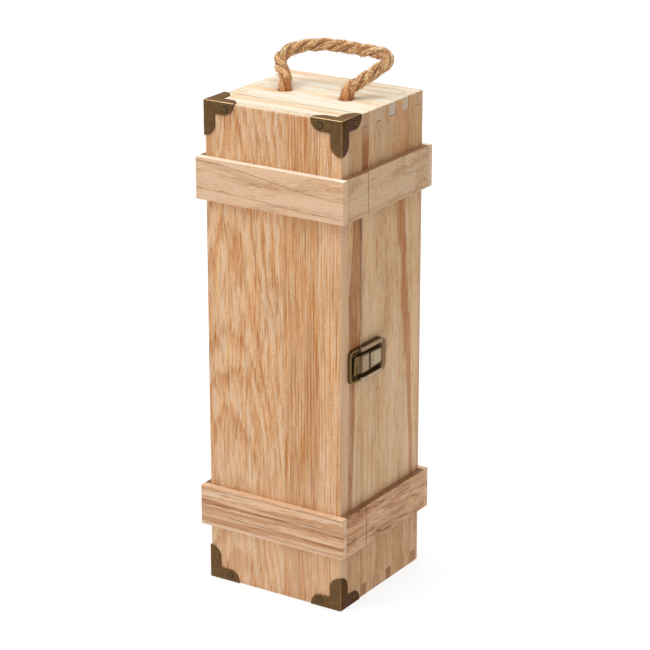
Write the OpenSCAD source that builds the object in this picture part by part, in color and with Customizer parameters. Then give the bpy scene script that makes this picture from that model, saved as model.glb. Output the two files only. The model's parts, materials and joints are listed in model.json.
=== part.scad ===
// Wooden wine box for one bottle, with a lid that opens like a door.
// A box-jointed frame is closed by a front and a back panel, belted by two bands and then
// sawn upright into a shallow lid and a deep body. Origin: middle of the base, X to the
// right along the lid's face, Y towards the back, Z up.

/* [Box] */
// Width across the side boards, without the bands
box_w = 108.8; // [104:0.2:120]
// Depth from the lid's face to the back, without the bands
box_d = 104; // [100:0.5:116]
// Height of the box
box_h = 350; // [340:1:380]
// Thickness of the side, top and bottom boards
board_t = 9; // [8:0.5:11]
// Thickness of the lid's front panel
front_t = 8; // [7.5:0.5:9]
// Thickness of the back panel
back_t = 3; // [3:0.5:6]
// Depth of the lid, from its face to the saw cut
lid_d = 25.4; // [25:0.1:30]
// Width of the saw cut between the lid and the body
cut_gap = 0.4; // [0.3:0.1:1]
// Width of each finger of the corner joints
finger_w = 8; // [6:0.5:9]
// Fingers at each end of the body's top and bottom boards
finger_count = 5; // [4:1:5]
// Chamfer that eases the outer edges of the boards
edge_ease = 0.6; // [0.3:0.1:1]

/* [Bands] */
// Thickness of the wooden bands
band_t = 5; // [4:0.5:7]
// Height of each band
band_h = 30; // [28:1:36]
// Distance from the top of the box down to the upper band's middle
upper_band_drop = 53.5; // [50:0.5:75]
// Height of the lower band's middle above the base
lower_band_z = 56.5; // [50:0.5:75]
// Chamfer along the outer edges of the bands
band_ease = 0.5; // [0.3:0.1:1]

/* [Rope handle] */
// Diameter of the rope
rope_d = 9.4; // [8:0.2:11]
// Radial clearance of the rope in its two holes
rope_hole_gap = 0.4; // [0.2:0.1:1]
// Distance between the middles of the two rope holes
rope_span = 49; // [46:1:56]
// Place of the rope holes behind the middle of the box
rope_y = 0.6; // [-4:0.2:8]
// Gap between the board and the loop's round ends
rope_lift = 0.3; // [0.2:0.1:1]
// Angle by which the resting loop leans back from upright
rope_lean = 52; // [20:1:80]
// Diameter of the knots that stop the rope inside
knot_d = 18; // [15:0.5:20]
// Height of each knot
knot_h = 13; // [11:0.5:16]
// Length of the rope's tail below each knot
tail_len = 12; // [6:1:20]

/* [Corner protectors] */
// Thickness of the protectors' sheet metal
cap_t = 0.7; // [0.5:0.1:1]
// Length of each arm, from the corner to its tip
cap_len = 24; // [20:0.5:24]
// Width of each arm
cap_w = 8.4; // [7:0.2:9]
// Distance of the screws from the corner, along the arm
cap_screw_along = 16.5; // [13:0.5:17]
// Distance of the screws from the edge that the arm follows
cap_screw_in = 4.2; // [3.8:0.1:4.6]
// Radius of the dimples pressed in round the screws
dimple_r = 2.9; // [2.5:0.1:3.2]
// Depth of the dimples
dimple_depth = 0.4; // [0.2:0.05:0.45]
// Radius of the protectors' screw heads
cap_head_r = 1.9; // [1.6:0.1:2.2]

/* [Hinges] */
// Height of each hinge
hinge_h = 25; // [22:0.5:28]
// Width of each leaf, from the pin's axis
leaf_w = 14.5; // [13:0.5:18]
// Thickness of the leaves
leaf_t = 1; // [0.8:0.1:1.4]
// Radius of the hinge knuckles
knuckle_r = 2.2; // [2:0.1:2.8]
// Radius of the hinge pins
hinge_pin_r = 1.15; // [0.9:0.05:1.3]
// Distance of the hinge screws above and below the hinge's middle
hinge_screw_z = 7.5; // [6.5:0.5:8.5]
// Distance of the hinge screws from the pin's axis
hinge_screw_y = 9; // [7:0.5:10]
// Radius of the hinge screw heads
hinge_head_r = 2; // [1.6:0.1:2.4]
// Length of the hinge screws
hinge_screw_len = 11; // [8:0.5:12]

/* [Clasp] */
// Height of the clasp's middle above the middle of the box
clasp_rise = 2; // [-60:1:60]
// Height of the clasp's body base, across its two walls
clasp_h = 24.8; // [22:0.2:30]
// Height of the plate on the lid
strike_h = 23.6; // [20:0.2:24]
// Length of the plate on the lid
strike_len = 17.2; // [16:0.2:20]
// Length of the base on the body, behind the saw cut
base_len = 24.2; // [23:0.2:30]
// How far the walls' noses reach over the lid
nose_len = 5.4; // [5:0.1:6]
// Height of the walls above the wood
wall_out = 4.6; // [4.4:0.1:6]
// Thickness of the clasp's upper and lower walls
wall_t = 3.1; // [2:0.1:4]
// Thickness of the wall that closes the base's far end
end_wall_t = 4.8; // [3:0.2:6]
// Outer corner radius of the base
base_corner_r = 5.5; // [3:0.5:6]
// Thickness of the clasp's floor plates
floor_t = 0.6; // [0.4:0.1:0.8]
// Height of the rim round the lid plate
rim_out = 2.2; // [1.4:0.1:2.6]
// Width of the rim round the lid plate
rim_w = 1.8; // [1.2:0.1:2.4]
// Thickness of the lever and hook sheet
sheet_t = 0.8; // [0.6:0.1:1]
// Width of the hook's plate
hook_w = 12.4; // [11:0.2:14]
// Width of the lever at its pinned end
lever_w = 11.2; // [10.6:0.2:12]
// Width of the lever at its thumb end
lever_end_w = 10; // [8:0.2:11]
// Radius of the clasp's two pins
clasp_pin_r = 0.45; // [0.4:0.05:0.5]

/* [Hidden] */
$fn = 48;

// Colours, as the photograph shows them
front_wood = [0.83, 0.68, 0.52];
side_wood = [0.76, 0.63, 0.49];
top_wood = [0.93, 0.85, 0.70];
band_wood = [0.80, 0.67, 0.53];
bronze = [0.42, 0.34, 0.22];
worn_brass = [0.62, 0.56, 0.44];
jute = [0.78, 0.60, 0.42];

// Cuts run this far past the faces that they open
over = 1;
// Fine round features are drawn with this many sides
small_fn = 24;

// Planes of the box
half_w = box_w / 2;
face_y = -box_d / 2;
back_y = box_d / 2;
frame_front_y = face_y + front_t;
frame_back_y = back_y - back_t;
cut_y = face_y + lid_d + cut_gap / 2;
lid_back_y = cut_y - cut_gap / 2;
body_front_y = cut_y + cut_gap / 2;
inner_half_w = half_w - board_t;
finger_pitch = (frame_back_y - body_front_y - finger_w) / (finger_count - 1);
upper_band_z = box_h - upper_band_drop;
clasp_z = box_h / 2 + clasp_rise;
body_fingers = [for (i = [0 : finger_count - 1]) body_front_y + i * finger_pitch];
lid_fingers = [frame_front_y];
band_out = half_w + band_t;

// Rope: its ends turn about one line just above the top board
rope_r = rope_d / 2;
rope_axis_z = box_h + rope_lift + rope_r;

// Wood screws
screw_len = 7;
screw_r = 0.9;
pilot_gap = 0.05;
tip_len = 1.6;
slot_w = 0.5;
cap_head_h = 0.35;
countersink_h = 0.8;

// Hinges: the pin stands outside the bands, so that the lid can fold right back
pin_stand = 0.1;
hinge_x = -(band_out + knuckle_r + pin_stand);
pin_gap = 0.05;
knuckle_gap = 0.2;
pin_head_h = 0.8;

// Clasp: heights above the wood are measured along X from the right side board
clasp_screw_r = 0.8;
clasp_head_r = 1.4;
clasp_head_h = 0.9;
clasp_screw_len = 6.5;
base_end_y = body_front_y + base_len;
nose_low = 1;
nose_r = (wall_out - nose_low) / 2;
nose_end_y = body_front_y - nose_len;
lever_axis_y = nose_end_y + nose_r;
lever_axis_out = 2.4;
link_axis_y = body_front_y + 4.4;
link_axis_out = 3.7;
plate_low = link_axis_out - sheet_t / 2;
plate_high = link_axis_out + sheet_t / 2;
ear_r = 0.8;
ear_t = 1.3;
roll_r = 0.9;
link_gap = 0.2;
pocket_half = clasp_h / 2 - wall_t;
lever_end_y = base_end_y - end_wall_t - 0.3;
hook_start_y = nose_end_y + 0.4;
hook_tip_y = hook_start_y - 7;
tongue_low = 1.2;
rim_end_gap = 0.4;
crown_y = hook_tip_y + 3.4;

// ---- Common shapes ----

// A block between two opposite corners
module span(low, high) {
    translate(low) cube(high - low);
}

// A rectangle with its four corners cut off at 45 degrees
module eased_rect(low, high, ease) {
    polygon([
        [low[0] + ease, low[1]], [high[0] - ease, low[1]],
        [high[0], low[1] + ease], [high[0], high[1] - ease],
        [high[0] - ease, high[1]], [low[0] + ease, high[1]],
        [low[0], high[1] - ease], [low[0], low[1] + ease]
    ]);
}

// A block whose twelve edges are all eased
module eased_block(low, high, ease) {
    intersection() {
        translate([0, 0, low[2]])
            linear_extrude(high[2] - low[2])
                eased_rect([low[0], low[1]], [high[0], high[1]], ease);
        translate([0, high[1], 0])
            rotate([90, 0, 0])
                linear_extrude(high[1] - low[1])
                    eased_rect([low[0], low[2]], [high[0], high[2]], ease);
        translate([low[0], 0, 0])
            rotate([90, 0, 90])
                linear_extrude(high[0] - low[0])
                    eased_rect([low[1], low[2]], [high[1], high[2]], ease);
    }
}

// Everything inside the eased outer edges of the closed box
module inside_edges() {
    intersection() {
        children();
        eased_block([-half_w, face_y, 0], [half_w, back_y, box_h], edge_ease);
    }
}

// Places a shape drawn along +Z so that it points out of the named face
module out_of_front(x, z) {
    translate([x, face_y, z]) rotate([90, 0, 0]) children();
}
module out_of_side(side, y, z, out = half_w) {
    translate([side * out, y, z]) rotate([0, side * 90, 0]) children();
}

// A wood screw: the head's top is at the origin and the shank points down -Z
module wood_screw(head_r, head_h, neck_r, shank_r, length) {
    difference() {
        union() {
            translate([0, 0, -head_h])
                cylinder(h = head_h, r1 = neck_r, r2 = head_r, $fn = small_fn);
            translate([0, 0, tip_len - length])
                cylinder(h = length - tip_len - head_h, r = shank_r, $fn = small_fn);
            translate([0, 0, -length])
                cylinder(h = tip_len, r1 = 0, r2 = shank_r, $fn = small_fn);
        }
        for (turn = [0, 90])
            rotate([0, 0, turn])
                translate([-head_r * 0.65, -slot_w / 2, -head_h * 0.6])
                    cube([head_r * 1.3, slot_w, head_h]);
    }
}

// The hole that a screw's shank runs in, from depth top to its tip
module pilot(shank_r, length, top = 0) {
    translate([0, 0, -length])
        cylinder(h = length - top + over, r = shank_r + pilot_gap, $fn = small_fn);
}

// ---- Where each set of screws goes ----

cap_corners = [[1, 1], [-1, 1], [1, 0], [-1, 0]];
function cap_screw_z(top) = top == 1 ? box_h - cap_screw_in : cap_t + cap_screw_in;

module at_cap_screws(sink) {
    for (corner = cap_corners) {
        out_of_front(corner[0] * (half_w - cap_screw_along), cap_screw_z(corner[1]))
            translate([0, 0, sink]) children();
        out_of_side(corner[0], face_y + cap_screw_along, cap_screw_z(corner[1]))
            translate([0, 0, sink]) children();
    }
}

// way is 1 for the leaf on the body and -1 for the leaf on the lid
module at_hinge_screws(way) {
    for (middle = [upper_band_z, lower_band_z], z = [-hinge_screw_z, hinge_screw_z])
        out_of_side(-1, cut_y + way * hinge_screw_y, middle + z, band_out)
            children();
}

module at_base_screws() {
    for (y = [link_axis_y + 4.4, lever_end_y - 3.2])
        out_of_side(1, y, clasp_z) children();
}

module at_strike_screws() {
    for (z = [-1, 1])
        out_of_side(1, hook_tip_y + 2.2, clasp_z + z * (hook_w / 2 + 2)) children();
}

module hinge_pilots(way) {
    at_hinge_screws(way) pilot(screw_r, hinge_screw_len);
}
module base_pilots() {
    at_base_screws() pilot(clasp_screw_r, clasp_screw_len);
}
module strike_pilots() {
    at_strike_screws() pilot(clasp_screw_r, clasp_screw_len);
}
module cap_pilots() {
    at_cap_screws(0) pilot(screw_r, screw_len);
}

// ---- Boards of the box ----

// The sockets at both ends of a side board that the fingers are glued into
module finger_sockets(starts) {
    for (start = starts, z = [-over, box_h - board_t])
        translate([-half_w - over, start, z])
            cube([box_w + 2 * over, finger_w, board_t + over]);
}

module side_board(side, front, back, starts) {
    inside_edges()
        difference() {
            span([min(side * half_w, side * inner_half_w), front, 0],
                [max(side * half_w, side * inner_half_w), back, box_h]);
            finger_sockets(starts);
        }
}

module end_board(low_z, front, back, starts) {
    inside_edges()
        union() {
            span([-inner_half_w, front, low_z], [inner_half_w, back, low_z + board_t]);
            for (start = starts)
                span([-half_w, start, low_z], [half_w, start + finger_w, low_z + board_t]);
        }
}

module side_board_right() {
    color(side_wood) difference() {
        side_board(1, body_front_y, frame_back_y, body_fingers);
        base_pilots();
    }
}

module side_board_left() {
    color(side_wood) difference() {
        side_board(-1, body_front_y, frame_back_y, body_fingers);
        hinge_pilots(1);
    }
}

module top_board() {
    color(top_wood) difference() {
        end_board(box_h - board_t, body_front_y, frame_back_y, body_fingers);
        for (side = [-1, 1])
            translate([side * rope_span / 2, rope_y, box_h - board_t - over])
                cylinder(h = board_t + 2 * over, r = rope_r + rope_hole_gap);
    }
}

module bottom_board() {
    color(side_wood) end_board(0, body_front_y, frame_back_y, body_fingers);
}

module back_panel() {
    color(front_wood)
        inside_edges() span([-half_w, frame_back_y, 0], [half_w, back_y, box_h]);
}

// ---- Boards of the lid ----

module front_panel() {
    color(front_wood) difference() {
        inside_edges() span([-half_w, face_y, 0], [half_w, frame_front_y, box_h]);
        cap_pilots();
        cap_recesses();
    }
}

module lid_side(side) {
    difference() {
        side_board(side, frame_front_y, lid_back_y, lid_fingers);
        cap_pilots();
        cap_recesses();
    }
}

module lid_side_right() {
    color(side_wood) difference() {
        lid_side(1);
        strike_pilots();
    }
}

module lid_side_left() {
    color(side_wood) difference() {
        lid_side(-1);
        hinge_pilots(-1);
    }
}

module lid_top() {
    color(top_wood) difference() {
        end_board(box_h - board_t, frame_front_y, lid_back_y, lid_fingers);
        cap_pilots();
    }
}

module lid_bottom() {
    color(side_wood) difference() {
        end_board(0, frame_front_y, lid_back_y, lid_fingers);
        cap_pilots();
        cap_recesses();
    }
}

// ---- Bands ----

// The full ring of a band, with all its outer edges eased
module band_ring(middle) {
    low = middle - band_h / 2;
    high = middle + band_h / 2;
    difference() {
        eased_block([-band_out, face_y - band_t, low], [band_out, back_y + band_t, high],
            band_ease);
        span([-half_w, face_y, low - over], [half_w, back_y, high + over]);
    }
}

// One stick of the ring, between two corners in plan
module band_stick(middle, low, high) {
    intersection() {
        band_ring(middle);
        span([low[0], low[1], middle - band_h], [high[0], high[1], middle + band_h]);
    }
}

// The front and back sticks run across and cover the ends of the side sticks
module band_front(middle) {
    color(band_wood)
        band_stick(middle, [-band_out, face_y - band_t], [band_out, face_y]);
}
module band_back(middle) {
    color(band_wood)
        band_stick(middle, [-band_out, back_y], [band_out, back_y + band_t]);
}
module band_side(side, middle, front, back) {
    color(band_wood) band_stick(middle,
        [min(side * half_w, side * band_out), front],
        [max(side * half_w, side * band_out), back]);
}
module band_body_left(middle) {
    difference() {
        band_side(-1, middle, body_front_y, back_y);
        hinge_pilots(1);
    }
}
module band_lid_left(middle) {
    difference() {
        band_side(-1, middle, face_y, lid_back_y);
        hinge_pilots(-1);
    }
}

module upper_band_right() { band_side(1, upper_band_z, body_front_y, back_y); }
module upper_band_left() { band_body_left(upper_band_z); }
module upper_band_back() { band_back(upper_band_z); }
module lower_band_right() { band_side(1, lower_band_z, body_front_y, back_y); }
module lower_band_left() { band_body_left(lower_band_z); }
module lower_band_back() { band_back(lower_band_z); }
module upper_band_front() { band_front(upper_band_z); }
module upper_band_lid_right() { band_side(1, upper_band_z, face_y, lid_back_y); }
module upper_band_lid_left() { band_lid_left(upper_band_z); }
module lower_band_front() { band_front(lower_band_z); }
module lower_band_lid_right() { band_side(1, lower_band_z, face_y, lid_back_y); }
module lower_band_lid_left() { band_lid_left(lower_band_z); }

// ---- Corner protectors ----

// One arm's outline along +X from the corner, with a round end whose tip lies on the edge
module cap_arm(grow) {
    straight = cap_len - cap_w;
    translate([-cap_t, -cap_t]) square([straight + cap_t, cap_w + cap_t + grow]);
    translate([-cap_t, -cap_t]) square([cap_len + cap_t + grow, cap_t]);
    intersection() {
        translate([straight, 0]) circle(r = cap_w + grow);
        translate([straight, 0]) square([cap_w + 2 * grow, cap_w + 2 * grow]);
    }
}

module cap_outline(grow = 0) {
    cap_arm(grow);
    mirror([1, -1]) cap_arm(grow);
}

module cap_face() {
    translate([0, 0, -cap_t]) linear_extrude(cap_t) cap_outline();
}

// The seat for one screw: a dimple with a hole through its floor
module cap_screw_seat() {
    translate([cap_screw_along, cap_screw_in, -cap_t]) {
        translate([0, 0, -over])
            cylinder(h = cap_t + 2 * over, r = screw_r + 2 * pilot_gap, $fn = small_fn);
        cylinder(h = dimple_depth, r1 = dimple_r, r2 = cap_head_r + pilot_gap,
            $fn = small_fn);
    }
}

// A protector on the corner of a block that fills the octant with x, y and z above 0.
// Its faces lie against z = 0, y = 0 and x = 0; the last two are screwed on.
module cap_piece() {
    color(bronze) difference() {
        union() {
            cap_face();
            mirror([0, 1, -1]) cap_face();
            mirror([1, 0, -1]) cap_face();
        }
        mirror([0, 1, -1]) cap_screw_seat();
        rotate([0, 0, 90]) mirror([0, 1, 0]) mirror([0, 1, -1]) cap_screw_seat();
    }
}

// Moves a shape from that octant to a corner of the lid's face. The lower protectors'
// flaps are let into the wood, so that the box stands flat.
module at_corner(side, top) {
    translate([side * half_w, face_y, top == 1 ? box_h : cap_t])
        mirror([side == 1 ? 1 : 0, 0, 0])
            mirror([0, 0, top == 1 ? 1 : 0])
                children();
}

// The shallow recesses for the two lower flaps
module cap_recesses() {
    for (side = [-1, 1])
        at_corner(side, 0)
            translate([0, 0, -cap_t - over])
                linear_extrude(cap_t + over) cap_outline(0.1);
}

module corner_top_right() { at_corner(1, 1) cap_piece(); }
module corner_top_left() { at_corner(-1, 1) cap_piece(); }
module corner_bottom_right() { at_corner(1, 0) cap_piece(); }
module corner_bottom_left() { at_corner(-1, 0) cap_piece(); }

module corner_screws() {
    color(bronze) at_cap_screws(cap_t - dimple_depth + cap_head_h)
        wood_screw(cap_head_r, cap_head_h, cap_head_r, screw_r, screw_len);
}

// ---- Hinges ----

// Heights of the cuts between the three knuckles
knuckle_h = (hinge_h - 2 * knuckle_gap) / 3;

module knuckle(low, high) {
    translate([hinge_x, cut_y, low]) cylinder(h = high - low, r = knuckle_r);
}

// way is 1 for the leaf on the body, with the two outer knuckles, and -1 for the lid's
module hinge_leaf(middle, way) {
    low = middle - hinge_h / 2;
    first = low + knuckle_h;
    second = first + knuckle_gap;
    third = second + knuckle_h;
    last = third + knuckle_gap;
    color(bronze) difference() {
        union() {
            span([-band_out - leaf_t, min(cut_y + way * leaf_w, cut_y + way * 0.5), low],
                [-band_out, max(cut_y + way * leaf_w, cut_y + way * 0.5), low + hinge_h]);
            if (way == 1) {
                knuckle(low, first);
                knuckle(last, low + hinge_h);
                leaf_webs(way, low, first);
                leaf_webs(way, last, low + hinge_h);
            }
            if (way == -1) {
                knuckle(second, third);
                leaf_webs(way, second, third);
            }
        }
        translate([hinge_x, cut_y, low - over])
            cylinder(h = hinge_h + 2 * over, r = hinge_pin_r + pin_gap);
        knuckle_room(way, low, first, second, third, last);
        at_hinge_screws(way) translate([0, 0, -over])
            cylinder(h = leaf_t + 2 * over, r = screw_r + pilot_gap, $fn = small_fn);
        at_hinge_screws(way) translate([0, 0, leaf_t - countersink_h])
            cylinder(h = countersink_h, r1 = screw_r + pilot_gap,
                r2 = hinge_head_r + pilot_gap, $fn = small_fn);
    }
}

// The curl that carries the sheet from the leaf round to its knuckle
module leaf_webs(way, low, high) {
    near = cut_y;
    far = cut_y + way * (knuckle_r + 0.6);
    span([-band_out - leaf_t - pin_stand, min(near, far), low],
        [-band_out - pin_stand, max(near, far), high]);
}

// Room round the other leaf's knuckles
module knuckle_room(way, low, first, second, third, last) {
    room_r = knuckle_r + knuckle_gap;
    if (way == 1)
        translate([hinge_x, cut_y, first]) cylinder(h = last - first, r = room_r);
    if (way == -1) {
        translate([hinge_x, cut_y, low - over])
            cylinder(h = second - low + over, r = room_r);
        translate([hinge_x, cut_y, third])
            cylinder(h = low + hinge_h - third + over, r = room_r);
    }
}

module hinge_pin(middle) {
    color(bronze) translate([hinge_x, cut_y, middle - hinge_h / 2]) {
        cylinder(h = hinge_h, r = hinge_pin_r);
        for (z = [-pin_head_h, hinge_h])
            translate([0, 0, z]) cylinder(h = pin_head_h, r = hinge_pin_r + 0.5);
    }
}

module upper_hinge_body_leaf() { hinge_leaf(upper_band_z, 1); }
module lower_hinge_body_leaf() { hinge_leaf(lower_band_z, 1); }
module upper_hinge_lid_leaf() { hinge_leaf(upper_band_z, -1); }
module lower_hinge_lid_leaf() { hinge_leaf(lower_band_z, -1); }
module upper_hinge_pin() { hinge_pin(upper_band_z); }
module lower_hinge_pin() { hinge_pin(lower_band_z); }

module hinge_screws(way) {
    color(bronze) at_hinge_screws(way) translate([0, 0, leaf_t])
        wood_screw(hinge_head_r, countersink_h, screw_r, screw_r, hinge_screw_len);
}
module hinge_screws_body() { hinge_screws(1); }
module hinge_screws_lid() { hinge_screws(-1); }

// ---- Clasp ----
// Clasp shapes are drawn flat, with x = height above the wood, y as on the box and z up
// from the clasp's middle.

module on_clasp() {
    translate([half_w, 0, clasp_z]) children();
}

// Raises an outline drawn in (y, z) to stand out from the wood between two heights
module raised(low, high) {
    translate([low, 0, 0]) rotate([90, 0, 90]) linear_extrude(high - low) children();
}

// A bar of the given width across Z whose section is drawn in (x, y)
module across(width) {
    translate([0, 0, -width / 2]) linear_extrude(width) children();
}

// A rectangle in (y, z) with two round corners at its far end (way 1) or near end (-1)
module round_end(near, far, half, r, way) {
    flat_near = way == 1 ? near : near + r;
    flat_far = way == 1 ? far - r : far;
    round_y = way == 1 ? far - r : near + r;
    translate([flat_near, -half]) square([flat_far - flat_near, 2 * half]);
    translate([near, r - half]) square([far - near, 2 * (half - r)]);
    for (side = [-1, 1]) translate([round_y, side * (half - r)]) circle(r = r);
}

module clasp_nose(side) {
    low = side == 1 ? pocket_half : -clasp_h / 2;
    translate([nose_low, nose_end_y + nose_r, low])
        cube([wall_out - nose_low, nose_len - nose_r + over, wall_t]);
    translate([nose_low + nose_r, nose_end_y + nose_r, low])
        cylinder(h = wall_t, r = nose_r);
}

// The body plate: a pressed tray, open towards the lid, whose walls hold the lever's pin
module clasp_base() {
    color(bronze) on_clasp() difference() {
        union() {
            raised(0, wall_out) round_end(body_front_y, base_end_y, clasp_h / 2,
                base_corner_r, 1);
            for (side = [-1, 1]) clasp_nose(side);
        }
        raised(floor_t, wall_out + over) round_end(body_front_y - over,
            base_end_y - end_wall_t, pocket_half, 2, 1);
        pin_hole(lever_axis_out, lever_axis_y, clasp_h - wall_t);
        translate([0, 0, -clasp_z]) translate([-half_w, 0, 0]) at_base_screws()
            translate([0, 0, -over])
                cylinder(h = floor_t + 2 * over, r = clasp_screw_r + pilot_gap,
                    $fn = small_fn);
    }
}

// A hole along Z for one of the clasp's pins
module pin_hole(out, y, length) {
    translate([out, y, -length / 2])
        cylinder(h = length, r = clasp_pin_r + pin_gap, $fn = small_fn);
}

module clasp_pin(out, y, length) {
    translate([out, y, -length / 2])
        cylinder(h = length, r = clasp_pin_r, $fn = small_fn);
}

module clasp_lever_pin() {
    color(bronze) on_clasp()
        clasp_pin(lever_axis_out, lever_axis_y, clasp_h - wall_t - 2 * pin_gap);
}

// The lever: a tapered thumb plate with two ears that reach under the hook to the pin
module clasp_lever() {
    plate_y = link_axis_y + roll_r + link_gap;
    color(worn_brass) on_clasp() difference() {
        union() {
            raised(plate_low, plate_high) polygon([
                [plate_y, -lever_w / 2], [lever_end_y, -lever_end_w / 2],
                [lever_end_y, lever_end_w / 2], [plate_y, lever_w / 2]
            ]);
            for (side = [-1, 1])
                translate([0, 0, side * (lever_w - ear_t) / 2]) lever_ear();
        }
        pin_hole(lever_axis_out, lever_axis_y, hook_w);
        pin_hole(link_axis_out, link_axis_y, hook_w);
    }
}

// One ear: down from the thumb plate, then forward below the hook's plate
module lever_ear() {
    low = lever_axis_out - ear_r;
    high = lever_axis_out + ear_r;
    drop_y = link_axis_y - roll_r;
    across(ear_t) {
        translate([lever_axis_out, lever_axis_y]) circle(r = ear_r);
        translate([low, lever_axis_y])
            square([high - low, link_axis_y + roll_r - lever_axis_y]);
        translate([low, drop_y]) square([link_axis_out - low, 2 * roll_r]);
        translate([link_axis_out, link_axis_y]) circle(r = roll_r);
        translate([plate_low, link_axis_y]) square([sheet_t, roll_r + 2 * link_gap]);
    }
}

module clasp_link_pin() {
    color(bronze) on_clasp() clasp_pin(link_axis_out, link_axis_y, lever_w);
}

// The hook: a plate that hangs on the lever's link pin and steps down to a tongue
module clasp_hook() {
    roll_w = lever_w - 2 * ear_t - 2 * link_gap;
    plate_end = link_axis_y - roll_r - link_gap;
    step_y = hook_start_y - 2;
    color(worn_brass) on_clasp() difference() {
        union() {
            across(hook_w) polygon([
                [plate_high, plate_end], [plate_low, plate_end],
                [plate_low, hook_start_y], [tongue_low, step_y],
                [tongue_low, hook_tip_y], [tongue_low + sheet_t, hook_tip_y],
                [tongue_low + sheet_t, step_y - 0.4], [plate_high, hook_start_y - 0.4]
            ]);
            across(roll_w) {
                translate([link_axis_out, link_axis_y]) circle(r = roll_r);
                translate([plate_low, plate_end - roll_r])
                    square([sheet_t, 2 * roll_r + link_gap]);
            }
            translate([tongue_low + roll_r, hook_tip_y, 0])
                across(hook_w) circle(r = roll_r);
        }
        pin_hole(link_axis_out, link_axis_y, roll_w + 2 * over);
    }
}

// The lid plate: a shallow tray, open towards the body, with a crown under the tongue
module clasp_strike() {
    rim_far = nose_end_y - rim_end_gap;
    near = lid_back_y - strike_len;
    half = strike_h / 2;
    color(bronze) on_clasp() difference() {
        union() {
            raised(0, floor_t) round_end(near, lid_back_y, half, 4, -1);
            difference() {
                raised(0, rim_out) round_end(near, rim_far, half, 4, -1);
                raised(floor_t, rim_out + over)
                    round_end(near + rim_w, rim_far + over, half - rim_w, 2.2, -1);
            }
            translate([floor_t / 2, crown_y, 0])
                across(hook_w) square([tongue_low - 0.3 - floor_t / 2, 1.2]);
        }
        translate([0, 0, -clasp_z]) translate([-half_w, 0, 0]) at_strike_screws()
            translate([0, 0, -over])
                cylinder(h = floor_t + 2 * over, r = clasp_screw_r + pilot_gap,
                    $fn = small_fn);
    }
}

module clasp_screw() {
    translate([0, 0, floor_t + clasp_head_h])
        wood_screw(clasp_head_r, clasp_head_h, clasp_head_r * 0.95, clasp_screw_r,
            clasp_screw_len);
}
module clasp_base_screws() {
    color(bronze) at_base_screws() clasp_screw();
}
module clasp_strike_screws() {
    color(bronze) at_strike_screws() clasp_screw();
}

// ---- Rope ----

// One end of the rope: through the board, then a knot and a short tail inside
module rope_stop(side) {
    knot_r = knot_d / 2;
    waist = rope_r * 0.95;
    knot_top = box_h - board_t;
    knot_mid = knot_top - knot_h / 2;
    arc = [for (a = [60 : -15 : -60])
        [waist + (knot_r - waist) * (cos(a) - cos(60)) / (1 - cos(60)),
            knot_mid + knot_h / 2 * sin(a) / sin(60)]];
    color(jute) translate([side * rope_span / 2, rope_y, 0])
        rotate_extrude() polygon(concat(
            [[0, box_h], [rope_r, box_h], [rope_r, knot_top], [waist, knot_top]],
            arc,
            [[waist, knot_top - knot_h - tail_len], [0, knot_top - knot_h - tail_len]]
        ));
}
module rope_stop_right() { rope_stop(1); }
module rope_stop_left() { rope_stop(-1); }

// The loop's middle line, in its own plane: X along the box, Y away from the holes
loop_points = [
    [-rope_span / 2, 0], [-26, 4], [-30, 8.5], [-35, 13.5], [-38, 19], [-37, 25],
    [-32, 30], [-24, 33.5], [-14, 36], [-3, 37], [8, 37], [19, 36.5], [29, 36.5],
    [37, 35.5], [41.5, 32], [42, 27], [38.5, 21.5], [34, 15], [29.5, 8.5], [26, 4],
    [rope_span / 2, 0]
];
loop_steps = 2;
loop_sides = 10;
end_rings = [75, 50, 25];

// A smooth curve through the points, sampled loop_steps times between each pair
function clamp(i, n) = max(0, min(n - 1, i));
function blend_point(a, b, c, d, t) =
    0.5 * (2 * b + (c - a) * t + (2 * a - 5 * b + 4 * c - d) * t * t
        + (3 * b - a - 3 * c + d) * t * t * t);
function smooth_line(p, steps) = let (n = len(p)) [
    for (i = [0 : n - 2], s = [0 : steps - 1])
        blend_point(p[clamp(i - 1, n)], p[i], p[i + 1], p[clamp(i + 2, n)], s / steps),
    p[n - 1]
];
function unit(v) = v / norm(v);
function heading(line, i) =
    unit(line[clamp(i + 1, len(line))] - line[clamp(i - 1, len(line))]);

// One ring of the tube: a circle across the line, in and out of the loop's plane
function tube_ring(at, way, r) = [
    for (k = [0 : loop_sides - 1]) let (a = 360 * k / loop_sides)
        [at[0] - way[1] * r * cos(a), at[1] + way[0] * r * cos(a), r * sin(a)]
];

// The tube: round first end, the line, round second end
module rope_tube(line, r) {
    n = len(line);
    first = heading(line, 0);
    last = heading(line, n - 1);
    rings = concat(
        [for (a = end_rings) tube_ring(line[0] - first * r * sin(a), first, r * cos(a))],
        [for (i = [0 : n - 1]) tube_ring(line[i], heading(line, i), r)],
        [for (k = [len(end_rings) - 1 : -1 : 0]) let (a = end_rings[k])
            tube_ring(line[n - 1] + last * r * sin(a), last, r * cos(a))]
    );
    m = len(rings);
    s = loop_sides;
    tips = [
        [line[0][0] - first[0] * r, line[0][1] - first[1] * r, 0],
        [line[n - 1][0] + last[0] * r, line[n - 1][1] + last[1] * r, 0]
    ];
    points = concat([for (ring = rings) each ring], tips);
    faces = concat(
        [for (i = [0 : m - 2], k = [0 : s - 1]) let (l = (k + 1) % s)
            [i * s + k, i * s + l, (i + 1) * s + k]],
        [for (i = [0 : m - 2], k = [0 : s - 1]) let (l = (k + 1) % s)
            [i * s + l, (i + 1) * s + l, (i + 1) * s + k]],
        [for (k = [0 : s - 1]) let (l = (k + 1) % s) [m * s, l, k]],
        [for (k = [0 : s - 1]) let (l = (k + 1) % s)
            [m * s + 1, (m - 1) * s + k, (m - 1) * s + l]]
    );
    polyhedron(points, faces);
}

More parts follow.
